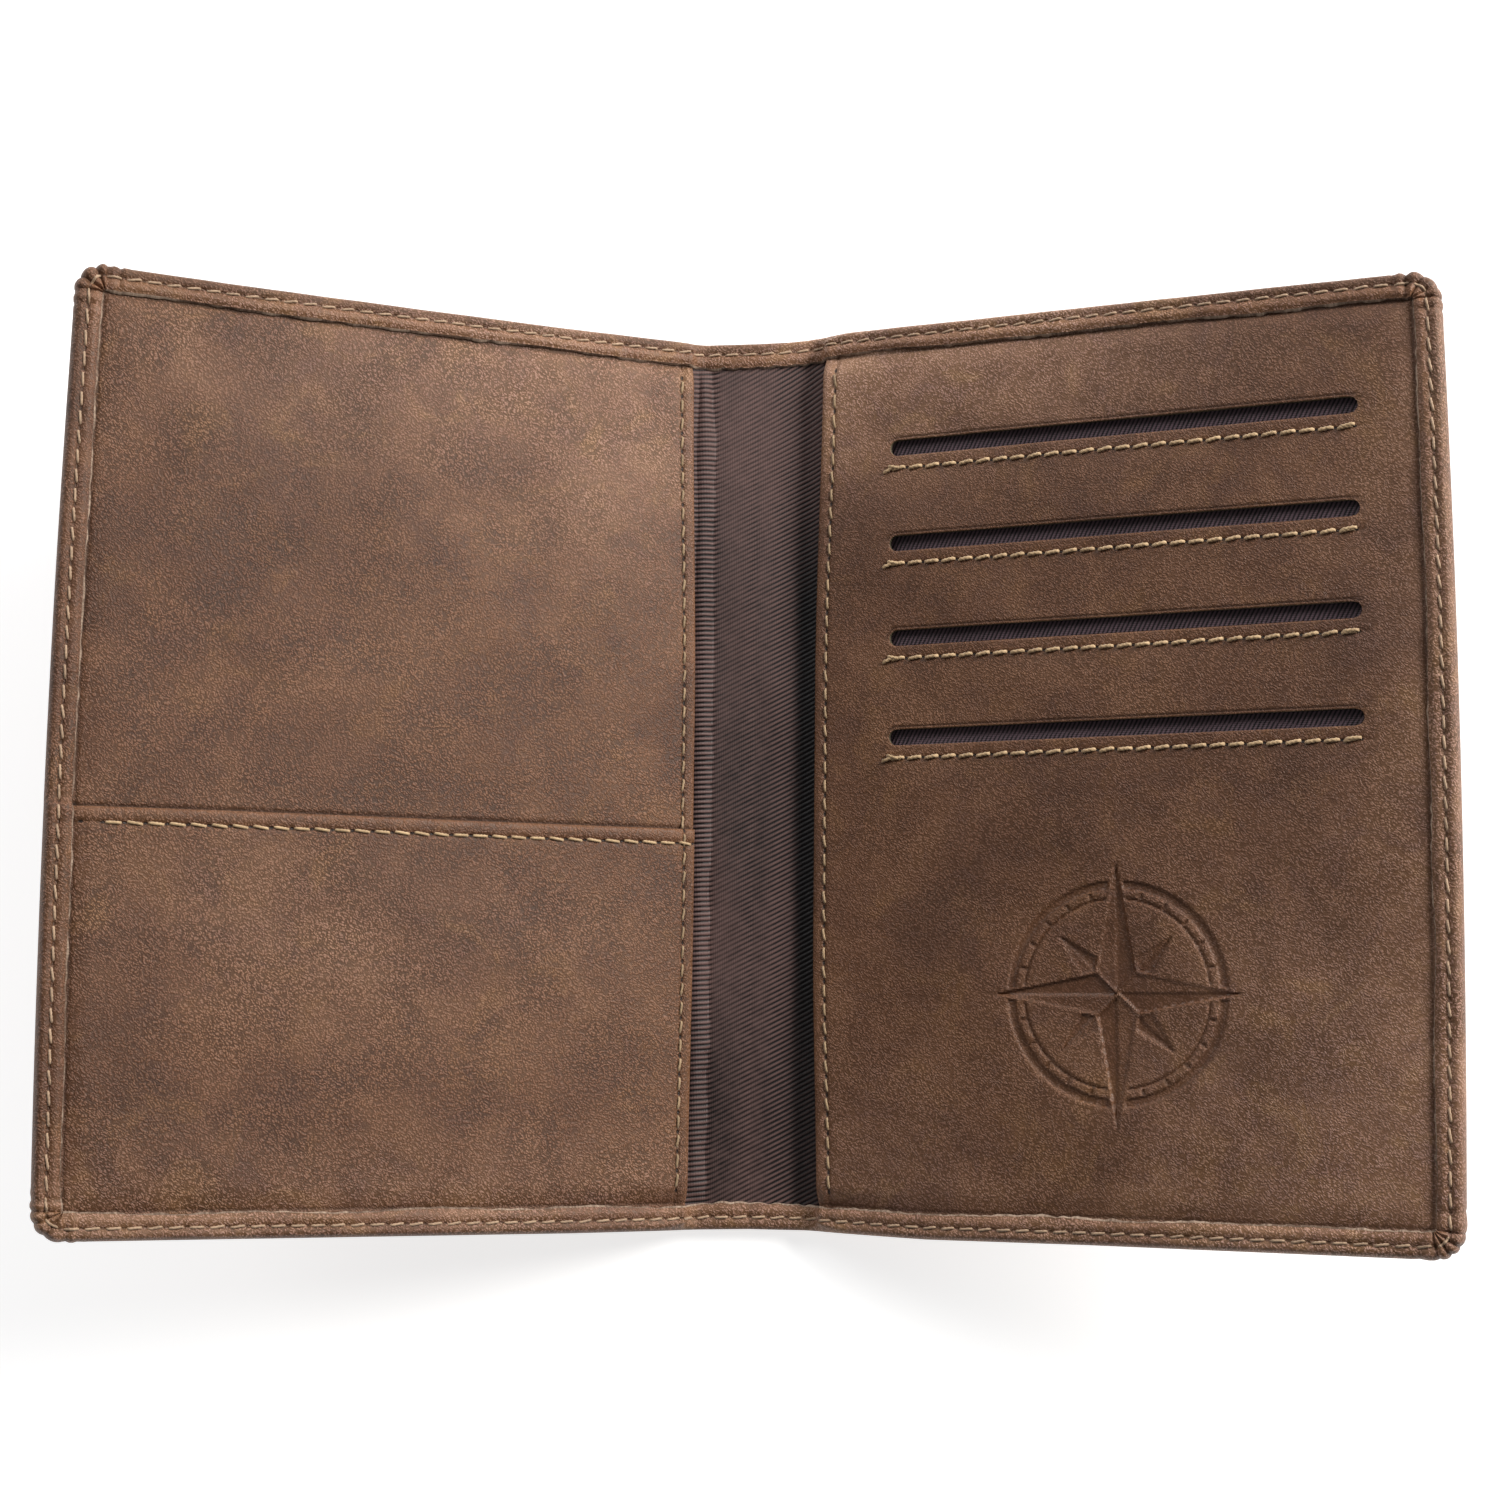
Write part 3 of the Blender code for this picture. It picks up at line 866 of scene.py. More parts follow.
def unevenness(u, y, across, seed):
    """The soft rise and fall of a panel that isn't glued down."""
    waves = 0.13 * ripple(u, y, 30.0, seed) + 0.05 * ripple(u, y, 11.0, seed + 1)
    return waves * smooth(2.0, 9.0, across) * smooth(2.5, 9.0, inset_of(u, y))


def panel_heights(u, y, across, level, seed):
    """Top and bottom of a panel with its folded edge and the seam drawn into it."""
    top = squeezed(level, u, inset_of(u, y)) + unevenness(u, y, across, seed)
    top = top - 0.12 * bump(inset_of(u, y), HEM_LINE, 0.3)
    half = PANEL_LEATHER / 2
    fold = rounded(across, half)
    puff = 0.1 * bump(across, 1.1, 0.6) * smooth(0.1, 0.6, across)
    pull = 0.2 * bump(across, EDGE_SEAM, 0.32)
    bottom = top - PANEL_LEATHER
    return top - fold * 0.96 + puff - pull, bottom + fold * 0.96


def hem_painted_shadow(u, y):
    """Negative values, a painted shadow: the dark line where the hem's cut edge meets a panel."""
    return -0.55 * bump(inset_of(u, y), HEM_LINE, 0.22)


def make_sleeve(materials):
    """The passport sleeve, whose lower half lies under the pocket."""
    side = -1
    along_y = hem_rows(0.58, (POCKET_Y - 4, 3.0), (POCKET_Y - 1, 0.58), (POCKET_Y + 2, 0.2))
    u, y, across = panel_grid(side, panel_columns(1.6), along_y)
    top, bottom = panel_heights(u, y, across, SLEEVE_TOP, UNEVEN_SEEDS["sleeve"])
    over_pocket = bump(y, pocket_edge(u) + 0.15, 0.36)
    # Paler folded edge: rubbed, partly a painted highlight; painted shadow line along the hem.
    wear_and_painted_light = 0.5 * bump(across, 0.3, 0.45) + 0.12 * bump(across, 1.2, 0.6) + hem_painted_shadow(u, y)
    # Painted shadow line on the sleeve just above the pocket's edge.
    wear_and_painted_light = wear_and_painted_light - 0.8 * over_pocket
    top = top - 0.2 * over_pocket * smooth(0.4, 1.2, across)
    seam = (y / EDGE_PITCH, np.abs(across - EDGE_SEAM), wear_and_painted_light)
    make_panel("sleeve_panel", "passport_sleeve_panel", side, (u, y, top, bottom),
               [materials["sleeve"]], seam)


# Distances down from the pocket's top edge for its grid lines.
DROPS = [0, 0.05, 0.14, 0.28, 0.45, 0.7, 1.1, 1.6, 1.9, 2.12, POCKET_SEAM, 2.48, 2.7, 3.1]


def pocket_edge(u):
    """The pocket's folded top edge, which sags a little away from the spine."""
    return POCKET_Y + 0.35 - 0.7 * smooth(5, 95, u) - 0.12 * np.sin(u / 15.0)


def pocket_start():
    """Where the pocket's seam starts, between the panel's edge and its edge seam."""
    return panel_edge(-1, np.array([POCKET_Y]))[0] + 0.45


def make_pocket(materials):
    """The lower pocket: its top edge is folded over and sewn down."""
    side = -1
    deepest = HALF - UNDER_HEM + POCKET_Y
    down = lines(DROPS[-1], (deepest - 4.0, 0.8), (deepest - 1.6, 0.17), (deepest, 0.8))
    drops = np.concatenate([DROPS, down[1:]])
    u, _, across = panel_grid(side, panel_columns(0.6), -drops[::-1] + POCKET_Y)
    drop = np.repeat(drops[::-1, None], u.shape[1], 1)
    y = np.maximum(pocket_edge(u) - drop, -HALF + UNDER_HEM)
    y = np.where(drop == drops[-1], -HALF + UNDER_HEM, y)
    top, bottom = panel_heights(u, y, across, POCKET_LEVEL, UNEVEN_SEEDS["pocket"])
    side_fold = rounded(across, PANEL_LEATHER / 2) * 0.96
    fold = np.maximum(rounded(drop, PANEL_LEATHER / 2) * 0.96, side_fold) - side_fold
    top = top - fold + 0.12 * bump(drop, 1.1, 0.7) * smooth(0.1, 0.6, drop)
    top = top - 0.2 * bump(drop, POCKET_SEAM, 0.33)
    bottom = bottom + fold
    # Paler folded edges and a paler band below the top fold: rubbed, partly a painted highlight; painted
    # shadow line along the hem.
    wear_and_painted_light = 0.5 * np.maximum(bump(across, 0.3, 0.45), bump(drop, 0.3, 0.5))
    wear_and_painted_light = wear_and_painted_light + 0.16 * bump(drop, 1.2, 0.7) + hem_painted_shadow(u, y)
    to_top, to_edge = np.abs(drop - POCKET_SEAM), np.abs(across - EDGE_SEAM)
    use_top = (to_top < to_edge) & (drop < 6)
    along = np.where(use_top, (u - pocket_start()) / POCKET_PITCH, y / EDGE_PITCH)
    seam = (along, np.where(use_top, to_top, to_edge), wear_and_painted_light)
    make_panel("lower_pocket", "lower_pocket_panel", side, (u, y, top, bottom),
               [materials["pocket"]], seam)


# ---------------------------------------------------------------- card panel with slots and motif

MOTIF_U, MOTIF_Y = 49.8, -33.8
MOTIF_RING = 16.0       # radius of the ring
MOTIF_REACH = 20.5      # the grid is fine this far from the motif's middle
MOTIF_DEPTH = 0.42
MOTIF_SOFT = 0.13       # half the width of its pressed walls
TICKS = 24


def motif_depth(u, y):
    """A plain eight-point compass star over a ring: how deep it is pressed, 0 to 1."""
    east, north = u - MOTIF_U, y - MOTIF_Y
    radius = np.hypot(east, north)

    def within(margin):
        return smooth(-MOTIF_SOFT, MOTIF_SOFT, margin)

    ring_band = within(0.62 - np.abs(radius - MOTIF_RING))
    fine_ring = within(0.2 - np.abs(radius - MOTIF_RING + 2.0))
    around = np.arctan2(east, north) * TICKS / (2 * math.pi)
    tick = np.abs(around - np.round(around)) * 2 * math.pi / TICKS * radius
    ticks = within(0.24 - tick) * within(0.5 - np.abs(radius - MOTIF_RING + 1.3))
    depth = np.maximum(0.8 * ring_band, 0.7 * np.maximum(fine_ring, ticks))
    for main in (False, True):
        for quarter in range(4):
            turn = math.radians(90 * quarter + (0 if main else 45))
            out = east * math.sin(turn) + north * math.cos(turn)
            aside = east * math.cos(turn) - north * math.sin(turn)
            reach = (19.8 if quarter % 2 == 0 else 18.2) if main else 12.2
            hip = 2.9 if main else 2.5
            width = np.where(out > hip, hip * (reach - out) / (reach - hip), out) - np.abs(aside)
            inside = within(width)
            facet = np.where(aside > 0, 1.0, 0.5) if main else np.where(aside > 0, 0.9, 0.45)
            rim = within(width + 0.5) if main else 0
            depth = depth * (1 - np.maximum(inside, rim)) + facet * inside
    return depth


def slot_offset(u, y, place):
    """Offsets along u and y from the middle line of a slot."""
    middle, low, high, _ = place
    return u - np.clip(u, low + SLOT_HALF, high - SLOT_HALF), y - middle


def slot_distance(u, y, place):
    """Distance outside a slot's rounded outline; negative inside it."""
    return np.hypot(*slot_offset(u, y, place)) - SLOT_HALF


def slot_rows():
    """Grid lines along y, fine at each slot, its seam and the motif."""
    stretches = [(MOTIF_Y - MOTIF_REACH, 0.58), (MOTIF_Y + MOTIF_REACH, 0.26)]
    for middle, _, _, seam_y in reversed(SLOTS):
        stretches += [(seam_y - 0.7, 0.58), (seam_y, 0.175), (seam_y + 0.7, 0.175),
                      (middle - SLOT_HALF - 0.9, 0.3), (middle - SLOT_HALF, 0.15),
                      (middle + SLOT_HALF, 0.208), (middle + SLOT_HALF + 0.9, 0.15)]
    return hem_rows(0.58, *stretches)


def card_panel_columns():
    """Grid lines across the card panel, fine at the slots' ends and the motif."""
    edge = panel_edge(1, np.array([0.0]))[0]
    low, high = (np.mean([place[end] for place in SLOTS]) - edge for end in (1, 2))
    return panel_columns(
        0.9, (low - 1.0, 1.1), (low + 1.6, 0.2), (MOTIF_U - MOTIF_REACH - edge, 0.9),
        (MOTIF_U + MOTIF_REACH - edge, 0.26), (high - 1.6, 0.9), (high + 1.0, 0.2),
    )


def cut_slots(u, y, kept):
    """Moves the grid's points on each slot's rim onto its outline."""
    centre_u, centre_y = ((grid[:-1, :-1] + grid[1:, :-1] + grid[:-1, 1:] + grid[1:, 1:]) / 4
                          for grid in (u, y))
    halves = slice(None, -1), slice(1, None)
    for place in SLOTS:
        inside = slot_distance(centre_u, centre_y, place) < 0
        kept &= ~inside
        touch_in, touch_out = np.zeros(u.shape, bool), np.zeros(u.shape, bool)
        for corner in [(rows, columns) for rows in halves for columns in halves]:
            touch_in[corner] |= inside
            touch_out[corner] |= ~inside
        rim = touch_in & touch_out
        away_u, away_y = slot_offset(u, y, place)
        length = np.maximum(np.hypot(away_u, away_y), 1e-6)
        u = np.where(rim, u - away_u + away_u / length * SLOT_HALF, u)
        y = np.where(rim, place[0] + away_y / length * SLOT_HALF, y)
    return u, y, kept


def make_card_panel(materials):
    """The panel with the four card slots and the pressed motif."""
    side = 1
    u, y, across = panel_grid(side, card_panel_columns(), slot_rows())
    u, y, kept = cut_slots(u, y, np.ones((u.shape[0] - 1, u.shape[1] - 1), bool))
    top, bottom = panel_heights(u, y, across, CARD_TOP, UNEVEN_SEEDS["card"])
    # Paler folded edge: rubbed, partly a painted highlight; painted shadow line along the hem.
    wear_and_painted_light = 0.45 * bump(across, 0.3, 0.45) + 0.1 * bump(across, 1.2, 0.6) + hem_painted_shadow(u, y)
    along, away = y / EDGE_PITCH, np.abs(across - EDGE_SEAM)
    for place in SLOTS:
        middle, low, high, seam_y = place
        distance = slot_distance(u, y, place)
        sag = 0.1 * bump(y, middle - 3.0, 2.6) * smooth(low - 3, low + 5, u)
        upper = smooth(middle - 0.8, middle + 0.8, y)
        top = top - 0.12 * bump(distance, 0.0, 0.13) - 0.17 * bump(distance, 0.36, 0.15) * upper
        top = top - sag * smooth(high + 3, high - 5, u)
        # Each slot's rim paler, rubbed and partly a painted highlight; the crease above it gets painted
        # shade.
        wear_and_painted_light = wear_and_painted_light + 0.3 * bump(distance, 0.1, 0.14) - 0.6 * bump(distance, 0.38, 0.17) * upper
        to_seam = np.where((u > low - 1.2) & (u < high + 0.8), np.abs(y - seam_y), 9.0)
        top = top - 0.16 * bump(to_seam, 0.0, 0.4)
        along = np.where(to_seam < away, (u - low) / SLOT_PITCH, along)
        away = np.minimum(away, to_seam)
    pressed = motif_depth(u, y)
    top = top - MOTIF_DEPTH * pressed
    bottom = bottom - 0.3 * MOTIF_DEPTH * pressed
    make_panel("card_panel_skin", "card_panel", side, (u, y, top, bottom),
               [materials["card"], materials["slot_cut"]], (along, away, wear_and_painted_light), kept, pressed)


# ---------------------------------------------------------------- linings

RIB = 0.77              # gutter lining: rib to rib, along y
RIB_TILT = 27           # degrees, from across the gutter
RIB_SLOPE = math.tan(math.radians(RIB_TILT))
FLAT_SLOPE = math.tan(math.radians(4))      # the ribs' slope on the bulge
SLOT_RIB = 0.68         # slot linings: rib to rib, along u
SLOT_RIB_TILT = 62      # degrees, from the slot's direction
LINING_HALF = 0.12      # half the lining's thickness
GUTTER_END = 9.0        # the gutter lining goes this far under a panel
GUTTER_TRIM = 1.7       # and ends this far in from the head and the foot
UNDER_PANEL = 1.45      # height of the lining where it goes under a panel
INNER_START = 5.2       # from here the lining is a part of its own, under the panel
INNER_TOP = 1.2
INNER_TRIM = 2.4        # the inner lining ends this far in from the outline
RIDGE_U = -0.35         # the lining's bulge beside the sleeve
RIDGE_REACH = 2.1


def rib_height(phase):
    """Rounded twill ribs with narrow furrows: 0 in the furrow, 1 on the rib."""
    return np.abs(np.sin(math.pi * phase)) ** 0.75


def ridge(u, y):
    """The rounded bulge of loose lining beside the sleeve panel, narrower at the head."""
    reach = RIDGE_REACH * (1 + 0.1 * ripple(0 * u, y, 11.0, 97) + 0.05 * ripple(0 * u, y, 3.0, 98))
    reach = reach * (1 - 0.35 * smooth(52, 66, y))
    part = np.clip(1 - ((u - RIDGE_U) / reach) ** 2, 0, 1)
    return part**0.9


def gutter_level(side, u, y):
    """How the loose lining lies across the spine and under the panel's edge."""
    under_panel = UNDER_PANEL - LINING_LEVEL
    if side < 0:
        bulge = (1.1 + 0.12 * ripple(0 * u, y, 18.0, 96)) * ridge(u, y)
        height = np.maximum(under_panel * smooth(-0.8, 1.2, u), bulge)
    else:
        height = under_panel * smooth(1.6, 4.6, u) - 0.1 * bump(u, -1.0, 2.2)
    inner = smooth(-HINGE_X, -HINGE_X + 5, u)
    height = height + 0.14 * ripple(u * 0.6, y, 26.0, 90 + side) * inner * smooth(4, 0, u)
    pressed = smooth(HALF - 7.5, HALF - 3.0, np.abs(y))
    return LINING_LEVEL + height * (1 - pressed) + np.minimum(height, 0.4 * smooth(-2, 3, u)) * pressed


def make_gutter_lining(name, materials):
    """The strip of lining that shows between the panels, with its ribs in the mesh."""
    side = SIDES[name]
    along_u = lines(-HINGE_X, (-4, 0.66), (2.6, 0.2 if side < 0 else 0.4), (GUTTER_END, 1.2))
    lean = np.full(along_u.shape, RIB_SLOPE)
    if side < 0:
        lean = RIB_SLOPE + (FLAT_SLOPE - RIB_SLOPE) * smooth(-4.2, -1.6, along_u)
    climb = np.concatenate([[0.0], np.cumsum(np.diff(along_u) * (lean[1:] + lean[:-1]) / 2)])
    reach = HALF + climb[-1] + 2
    u, base = np.meshgrid(along_u, lines(-reach, (reach, RIB / 6)))
    y = base + side * climb[None, :]
    rib = rib_height(base / RIB)
    depth = 0.07 + 0.09 * smooth(-8, -2, u)
    if side < 0:
        depth = 0.05 + 0.15 * smooth(-3.6, -1.4, u) + 0.03 * smooth(-5, -9, u)
    level = gutter_level(side, u, y)
    top = level + LINING_HALF + depth * (rib - 1)
    bottom = level - LINING_HALF - depth * 0.6
    clear = 0.4 + 0.6 * smooth(0.055, 0.11, depth)
    # Painted sheen: the lining paler towards the head; rib tops painted lighter and furrows darker, painted
    # highlight and shade.
    tone = 0.42 + 0.16 * smooth(30, 62, y) + 0.1 * ripple(u, y * 0.3, 12.0, 95)
    tone = tone + (rib**2.2 - 0.45) * clear * 1.15
    if side > 0:
        shadow = (0.9 - 0.35 * smooth(-25, -55, y)) * smooth(-4.0, -1.2, u) * smooth(48, 24, y)
        tone = tone * (1 - shadow)
    piece = grid_piece(name + "_gutter_lining", side, (u, y, top, bottom), [materials["twill"]], {
        "skin": stacked(side * (u + HINGE_X), y, level + LINING_PATCH),
        "weave": stacked(tone, u / math.cos(math.radians(RIB_TILT)), 0 * u),
    }, crisp_rim=True)
    limit = (HALF - GUTTER_TRIM) * MM
    clip_to_strip(piece, (0, 1, 0), -limit, limit)
    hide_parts("spine_lining")
    blend_at_fold(piece)


def make_inner_lining(name, materials):
    """The lining that goes on under a panel, glued to the board."""
    side, high = SIDES[name], HALF - INNER_TRIM
    share, y = np.meshgrid(np.linspace(0, 1, 24), np.linspace(-high, high, 40))
    u = INNER_START + (fore_edge(y) - INNER_TRIM - INNER_START) * share
    top = squeezed(INNER_TOP, u, inset_of(u, y))
    piece = grid_piece(name + "_inner_lining", side, (u, y, top, top - 2 * LINING_HALF),
                       [materials["hidden"]], {}, crisp_rim=True)
    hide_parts(name + "_lining")
    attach(piece, name + "_cover")


def make_slot_lining(number, place, materials):
    """The cloth pocket behind one card slot."""
    side = 1
    node = "card_pocket_lining_%d" % number
    low, high = layout_box(node, side)
    middle = place[0]
    tilt = math.radians(SLOT_RIB_TILT)
    slope = 1 / math.tan(tilt)
    along_y = lines(low[1], (middle - 4.5, 3.0), (middle + 3.0, 0.5), (high[1], 0.75))
    spread = (high[1] - low[1]) * slope
    base, y = np.meshgrid(lines(low[0] - spread, (high[0] + spread, SLOT_RIB / 5)), along_y)
    u = base + (y - middle) * slope
    rib = rib_height(base / SLOT_RIB)
    front = smooth(middle - 5.5, middle - 2.5, y)
    deep = (low[2] + high[2]) / 2
    level = deep + (CARD_BOTTOM - 0.42 - deep) * front
    level = level - 0.22 * front * smooth(middle + 1.6, middle - 1.6, y)
    level = level + 0.05 * ripple(u, y, 12.0, 100 + number)
    top = level + LINING_HALF * 0.7 + 0.1 * (rib - 1) * front
    bottom = level - LINING_HALF * 0.7 - 0.06
    piece = grid_piece("slot_lining_%d" % number, side, (u, y, top, bottom), [materials["slot_twill"]], {
        "skin": stacked(u + SLOT_PATCH, y, level),
        # Rib tops painted lighter than the furrows: painted highlight and shade.
        "weave": stacked(0.9 * rib**2.0, y / math.sin(tilt), 0 * u),
    })
    axis = (math.cos(REST), 0, math.sin(REST))
    pivot = HINGE_X * math.cos(REST) + PIVOT_Z * math.sin(REST)
    clip_to_strip(piece, axis, (low[0] + pivot) * MM, (high[0] + pivot) * MM)
    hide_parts(node)
    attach(piece, "back_cover")


# ---------------------------------------------------------------- thread

HEM_THREAD = 0.36       # thickness of each kind of thread
EDGE_THREAD = 0.38
POCKET_THREAD = 0.42
SLOT_THREAD = 0.5
STITCH_SINK = 0.16      # how far the seams pull into the panels
SLOT_STITCH_SINK = 0.15
EDGE_SEAM_END = 4.6     # the seams stop this far in from the outline
POCKET_SEAM_END = 4.4
# Short runs over each end of a slot's seam, as places along u from that end, then
# shift along y, lift, climb along the run, pitch, thickness and skew.
BACK_TACKS = {
    "low": ((-1.4, 2.6, -0.3, 0.1, 0.4, 2.6, SLOT_THREAD, 0.2),
            (-0.5, 2.3, 0.12, 0.22, 0.1, 2.5, 0.46, -0.2)),
    "high": ((-3.0, 0.5, 0.22, 0.12, -0.1, 2.7, 0.48, 0.1),),
}


def point_at(points, distance, wanted):
    return np.stack([np.interp(wanted, distance, points[:, i]) for i in range(3)], -1)


def unit(vectors):
    return vectors / np.maximum(np.linalg.norm(vectors, axis=-1, keepdims=True), 1e-9)


def stitch_run(points, pitch, thick, seed, rounds=8, steps=10, skew=0.0, face=1, phase=0.0, slip=0.0):
    """Points of one seam's stitches, as [stitch, step, round, (u, y, h)] in the layout.

    Each stitch is a two-ply twisted thread that comes up at one hole and dives into the next.
    """
    distance = cumulative(points[:, :2])
    holes = np.arange(phase * pitch, distance[-1] + 0.01 * pitch, pitch)
    random = np.random.default_rng(seed)
    start, end = holes[:-1], holes[1:]
    t = np.linspace(0, 1, steps)
    along = start[:, None] + (end - start)[:, None] * (0.5 + (t - 0.5) * (1.0 - slip))[None, :]
    centre = point_at(points, distance, along)
    ahead = unit(point_at(points, distance, along + 0.2) - point_at(points, distance, along - 0.2))
    aside = unit(np.stack([-ahead[..., 1], ahead[..., 0], 0 * ahead[..., 0]], -1))
    wobble = random.uniform(-1, 1, (len(start), 1))
    lean = (skew + 0.05 * wobble) * np.sin(math.pi * (t - 0.5))[None, :] * pitch * 0.5
    rise = 1 - np.abs(2 * t - 1) ** 5
    lift = thick * (0.55 + 0.06 * random.uniform(-1, 1, (len(start), 1))) * rise[None, :]
    lift = lift - (1 - rise[None, :]) * thick * 0.9
    centre = centre + aside * lean[..., None]
    centre[..., 2] += face * lift
    turn = np.linspace(0, 2 * math.pi, rounds, endpoint=False)
    twist = 2 * math.pi * (along / (thick * 2.6))[..., None]
    girth = thick * 0.5 * (1 + 0.17 * np.cos(2 * (turn[None, None, :] - twist)))
    girth = girth * (0.72 + 0.28 * rise)[None, :, None]
    out = centre[:, :, None, :] + aside[:, :, None, :] * (girth * np.cos(turn) * 1.08)[..., None]
    out[..., 2] += face * girth * np.sin(turn) * 0.92
    return out


def tube_faces(steps, rounds):
    """Faces of one stitch: a tube from step to step, closed at both ends."""
    faces = []
    for i in range(steps - 1):
        for j in range(rounds):
            k = (j + 1) % rounds
            faces.append([i * rounds + j, i * rounds + k, (i + 1) * rounds + k, (i + 1) * rounds + j])
    last = (steps - 1) * rounds
    return faces + [list(range(rounds - 1, -1, -1)), list(range(last, last + rounds))]


def make_thread(name, side, runs, material, face=1):
    """One named piece of thread from stitch runs, each [stitch, step, round, 3]."""
    faces, base = [], 0
    for run in runs:
        count, steps, rounds = run.shape[:3]
        pattern = tube_faces(steps, rounds)
        for _ in range(count):
            faces += [[base + k for k in corner] for corner in pattern]
            base += steps * rounds
    if side * face < 0:
        faces = [corner[::-1] for corner in faces]
    flat = np.concatenate([run.reshape(-1, 3) for run in runs])
    mesh = bpy.data.meshes.new(name)
    mesh.from_pydata(to_world(side, *flat.T).tolist(), [], faces)
    attribute = mesh.attributes.new("skin", "FLOAT_VECTOR", "POINT")
    attribute.data.foreach_set("vector", (flat + side * THREAD_PATCH).astype(np.float32).ravel())
    mesh.materials.append(material)
    return finish_mesh(name, mesh, 60)


def make_hem_threads(name, inner_line, outer_line, pitch, materials):
    """The hem's stitches, and the ends of them that show on the outer face."""
    side = SIDES[name]
    run = stitch_run(inner_line, pitch, HEM_THREAD, 1, skew=0.07 * side, slip=0.17)
    piece = make_thread(name + "_hem_stitches", side, [run], materials["hem_thread"])
    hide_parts(name + "_hem_thread", "spine_hem_thread_top", "spine_hem_thread_bottom")
    blend_at_fold(piece)
    run = stitch_run(outer_line, pitch, HEM_THREAD, 2, skew=-0.07 * side, face=-1, slip=0.12)
    piece = make_thread(name + "_outer_stitches", side, [run], materials["hem_thread"], -1)
    blend_at_fold(piece)


def make_edge_threads(materials):
    """The seams along each panel's folded edge beside the spine."""
    limit = HALF - EDGE_SEAM_END
    y = -limit + 2 * limit * np.linspace(0, 1, 400)
    first_hole = math.ceil(-limit / EDGE_PITCH) + limit / EDGE_PITCH
    for name, node in (("front", "sleeve_edge_thread"), ("back", "card_panel_edge_thread")):
        side = SIDES[name]
        u = panel_edge(side, y) + EDGE_SEAM
        level = squeezed(panel_level(side, y, 1.4, 0.3), u, HALF - np.abs(y))
        line = stacked(u, y, level - STITCH_SINK)
        run = stitch_run(line, EDGE_PITCH, EDGE_THREAD, 5 + side, skew=0.06, slip=0.24, phase=first_hole)
        piece = make_thread(name + "_edge_stitches", side, [run], materials["edge_thread"])
        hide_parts(node)
        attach(piece, name + "_cover")


def make_pocket_thread(materials):
    """The seam along the top of the lower pocket."""
    low, high = pocket_start(), WIDTH - POCKET_SEAM_END
    u = low + (high - low) * np.linspace(0, 1, 400)
    y = pocket_edge(u) - POCKET_SEAM
    level = squeezed(POCKET_LEVEL, u, WIDTH - u)
    h = level + unevenness(u, y, u - panel_edge(-1, y), UNEVEN_SEEDS["pocket"]) - STITCH_SINK
    run = stitch_run(stacked(u, y, h), POCKET_PITCH, POCKET_THREAD, 9, steps=12, skew=0.05, slip=0.14)
    piece = make_thread("pocket_stitches", -1, [run], materials["slot_thread"])
    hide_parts("lower_pocket_thread")
    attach(piece, "front_cover")


def slot_seam(first, last, y_first, lift=0.0, climb=0.0):
    """A straight run on the card panel, from one u to another."""
    u = np.linspace(first, last, 60)
    y = y_first + climb * (u - first) / (last - first)
    h = CARD_TOP + unevenness(u, y, u - panel_edge(1, y), UNEVEN_SEEDS["card"]) - SLOT_STITCH_SINK + lift
    return stacked(u, y, h)


def make_slot_threads(materials):
    """The heavier seams under the card slots, with a back-tack at both ends."""
    for number, (_, low, high, seam_y) in enumerate(SLOTS, 1):
        runs = [stitch_run(slot_seam(low, high + 0.3, seam_y), SLOT_PITCH, SLOT_THREAD, 20 + number,
                           rounds=10, steps=14, skew=0.1, slip=0.1)]
        for end, tacks in ((low, BACK_TACKS["low"]), (high, BACK_TACKS["high"])):
            for first, last, shift, lift, climb, pitch, thick, skew in tacks:
                line = slot_seam(end + first, end + last, seam_y + shift, lift, climb)
                runs.append(stitch_run(line, pitch, thick, 20 + 10 * len(runs) + number,
                                       rounds=10, steps=14, skew=skew, slip=0.05))
        piece = make_thread("slot_stitches_%d" % number, 1, runs, materials["slot_thread"])
        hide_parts("card_slot_thread_%d" % number)
        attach(piece, "back_cover")


# ---------------------------------------------------------------- the whole wallet


def make_materials():
    tones = (0.108, 0.046, 0.023), (0.145, 0.064, 0.032), (0.182, 0.085, 0.043)
    return {
        "cover": leather("cover_leather_look", *tones, HEM_PITCH, 0.35),
        "sleeve": leather("sleeve_leather_look", *tones, EDGE_PITCH),
        "pocket": leather("pocket_leather_look", *tones, POCKET_PITCH),
        "card": leather("card_leather_look", *tones, SLOT_PITCH, 0.9, 0.85),
        "cut": raw_edge("hem_cut_edge", (0.12, 0.075, 0.05), (0.42, 0.31, 0.23)),
        "slot_cut": raw_edge("slot_cut_edge", (0.05, 0.038, 0.02), (0.15, 0.12, 0.07)),
        "slot_twill": twill("slot_lining_look", (0.004, 0.002, 0.004), (0.145, 0.092, 0.112)),
        "twill": twill("lining_twill_look", (0.003, 0.0012, 0.0013), (0.13, 0.074, 0.066)),
        "hem_thread": thread("hem_thread_look", (0.22, 0.14, 0.085), (0.5, 0.34, 0.215)),
        "edge_thread": thread("edge_thread_look", (0.17, 0.11, 0.055), (0.42, 0.285, 0.155)),
        "slot_thread": thread("slot_thread_look", (0.26, 0.165, 0.08), (0.62, 0.43, 0.235)),
        "board": board("stiffener_board_look"),
        "hidden": hidden_lining("hidden_lining_look"),
    }


def dress_hidden_nodes(materials):
    """The CAD pieces that stay: the boards inside the covers."""
    for cover in SIDES:
        node = frame["nodes"]["%s_stiffener_board" % cover]
        node.data.materials.clear()
        node.data.materials.append(materials["board"])


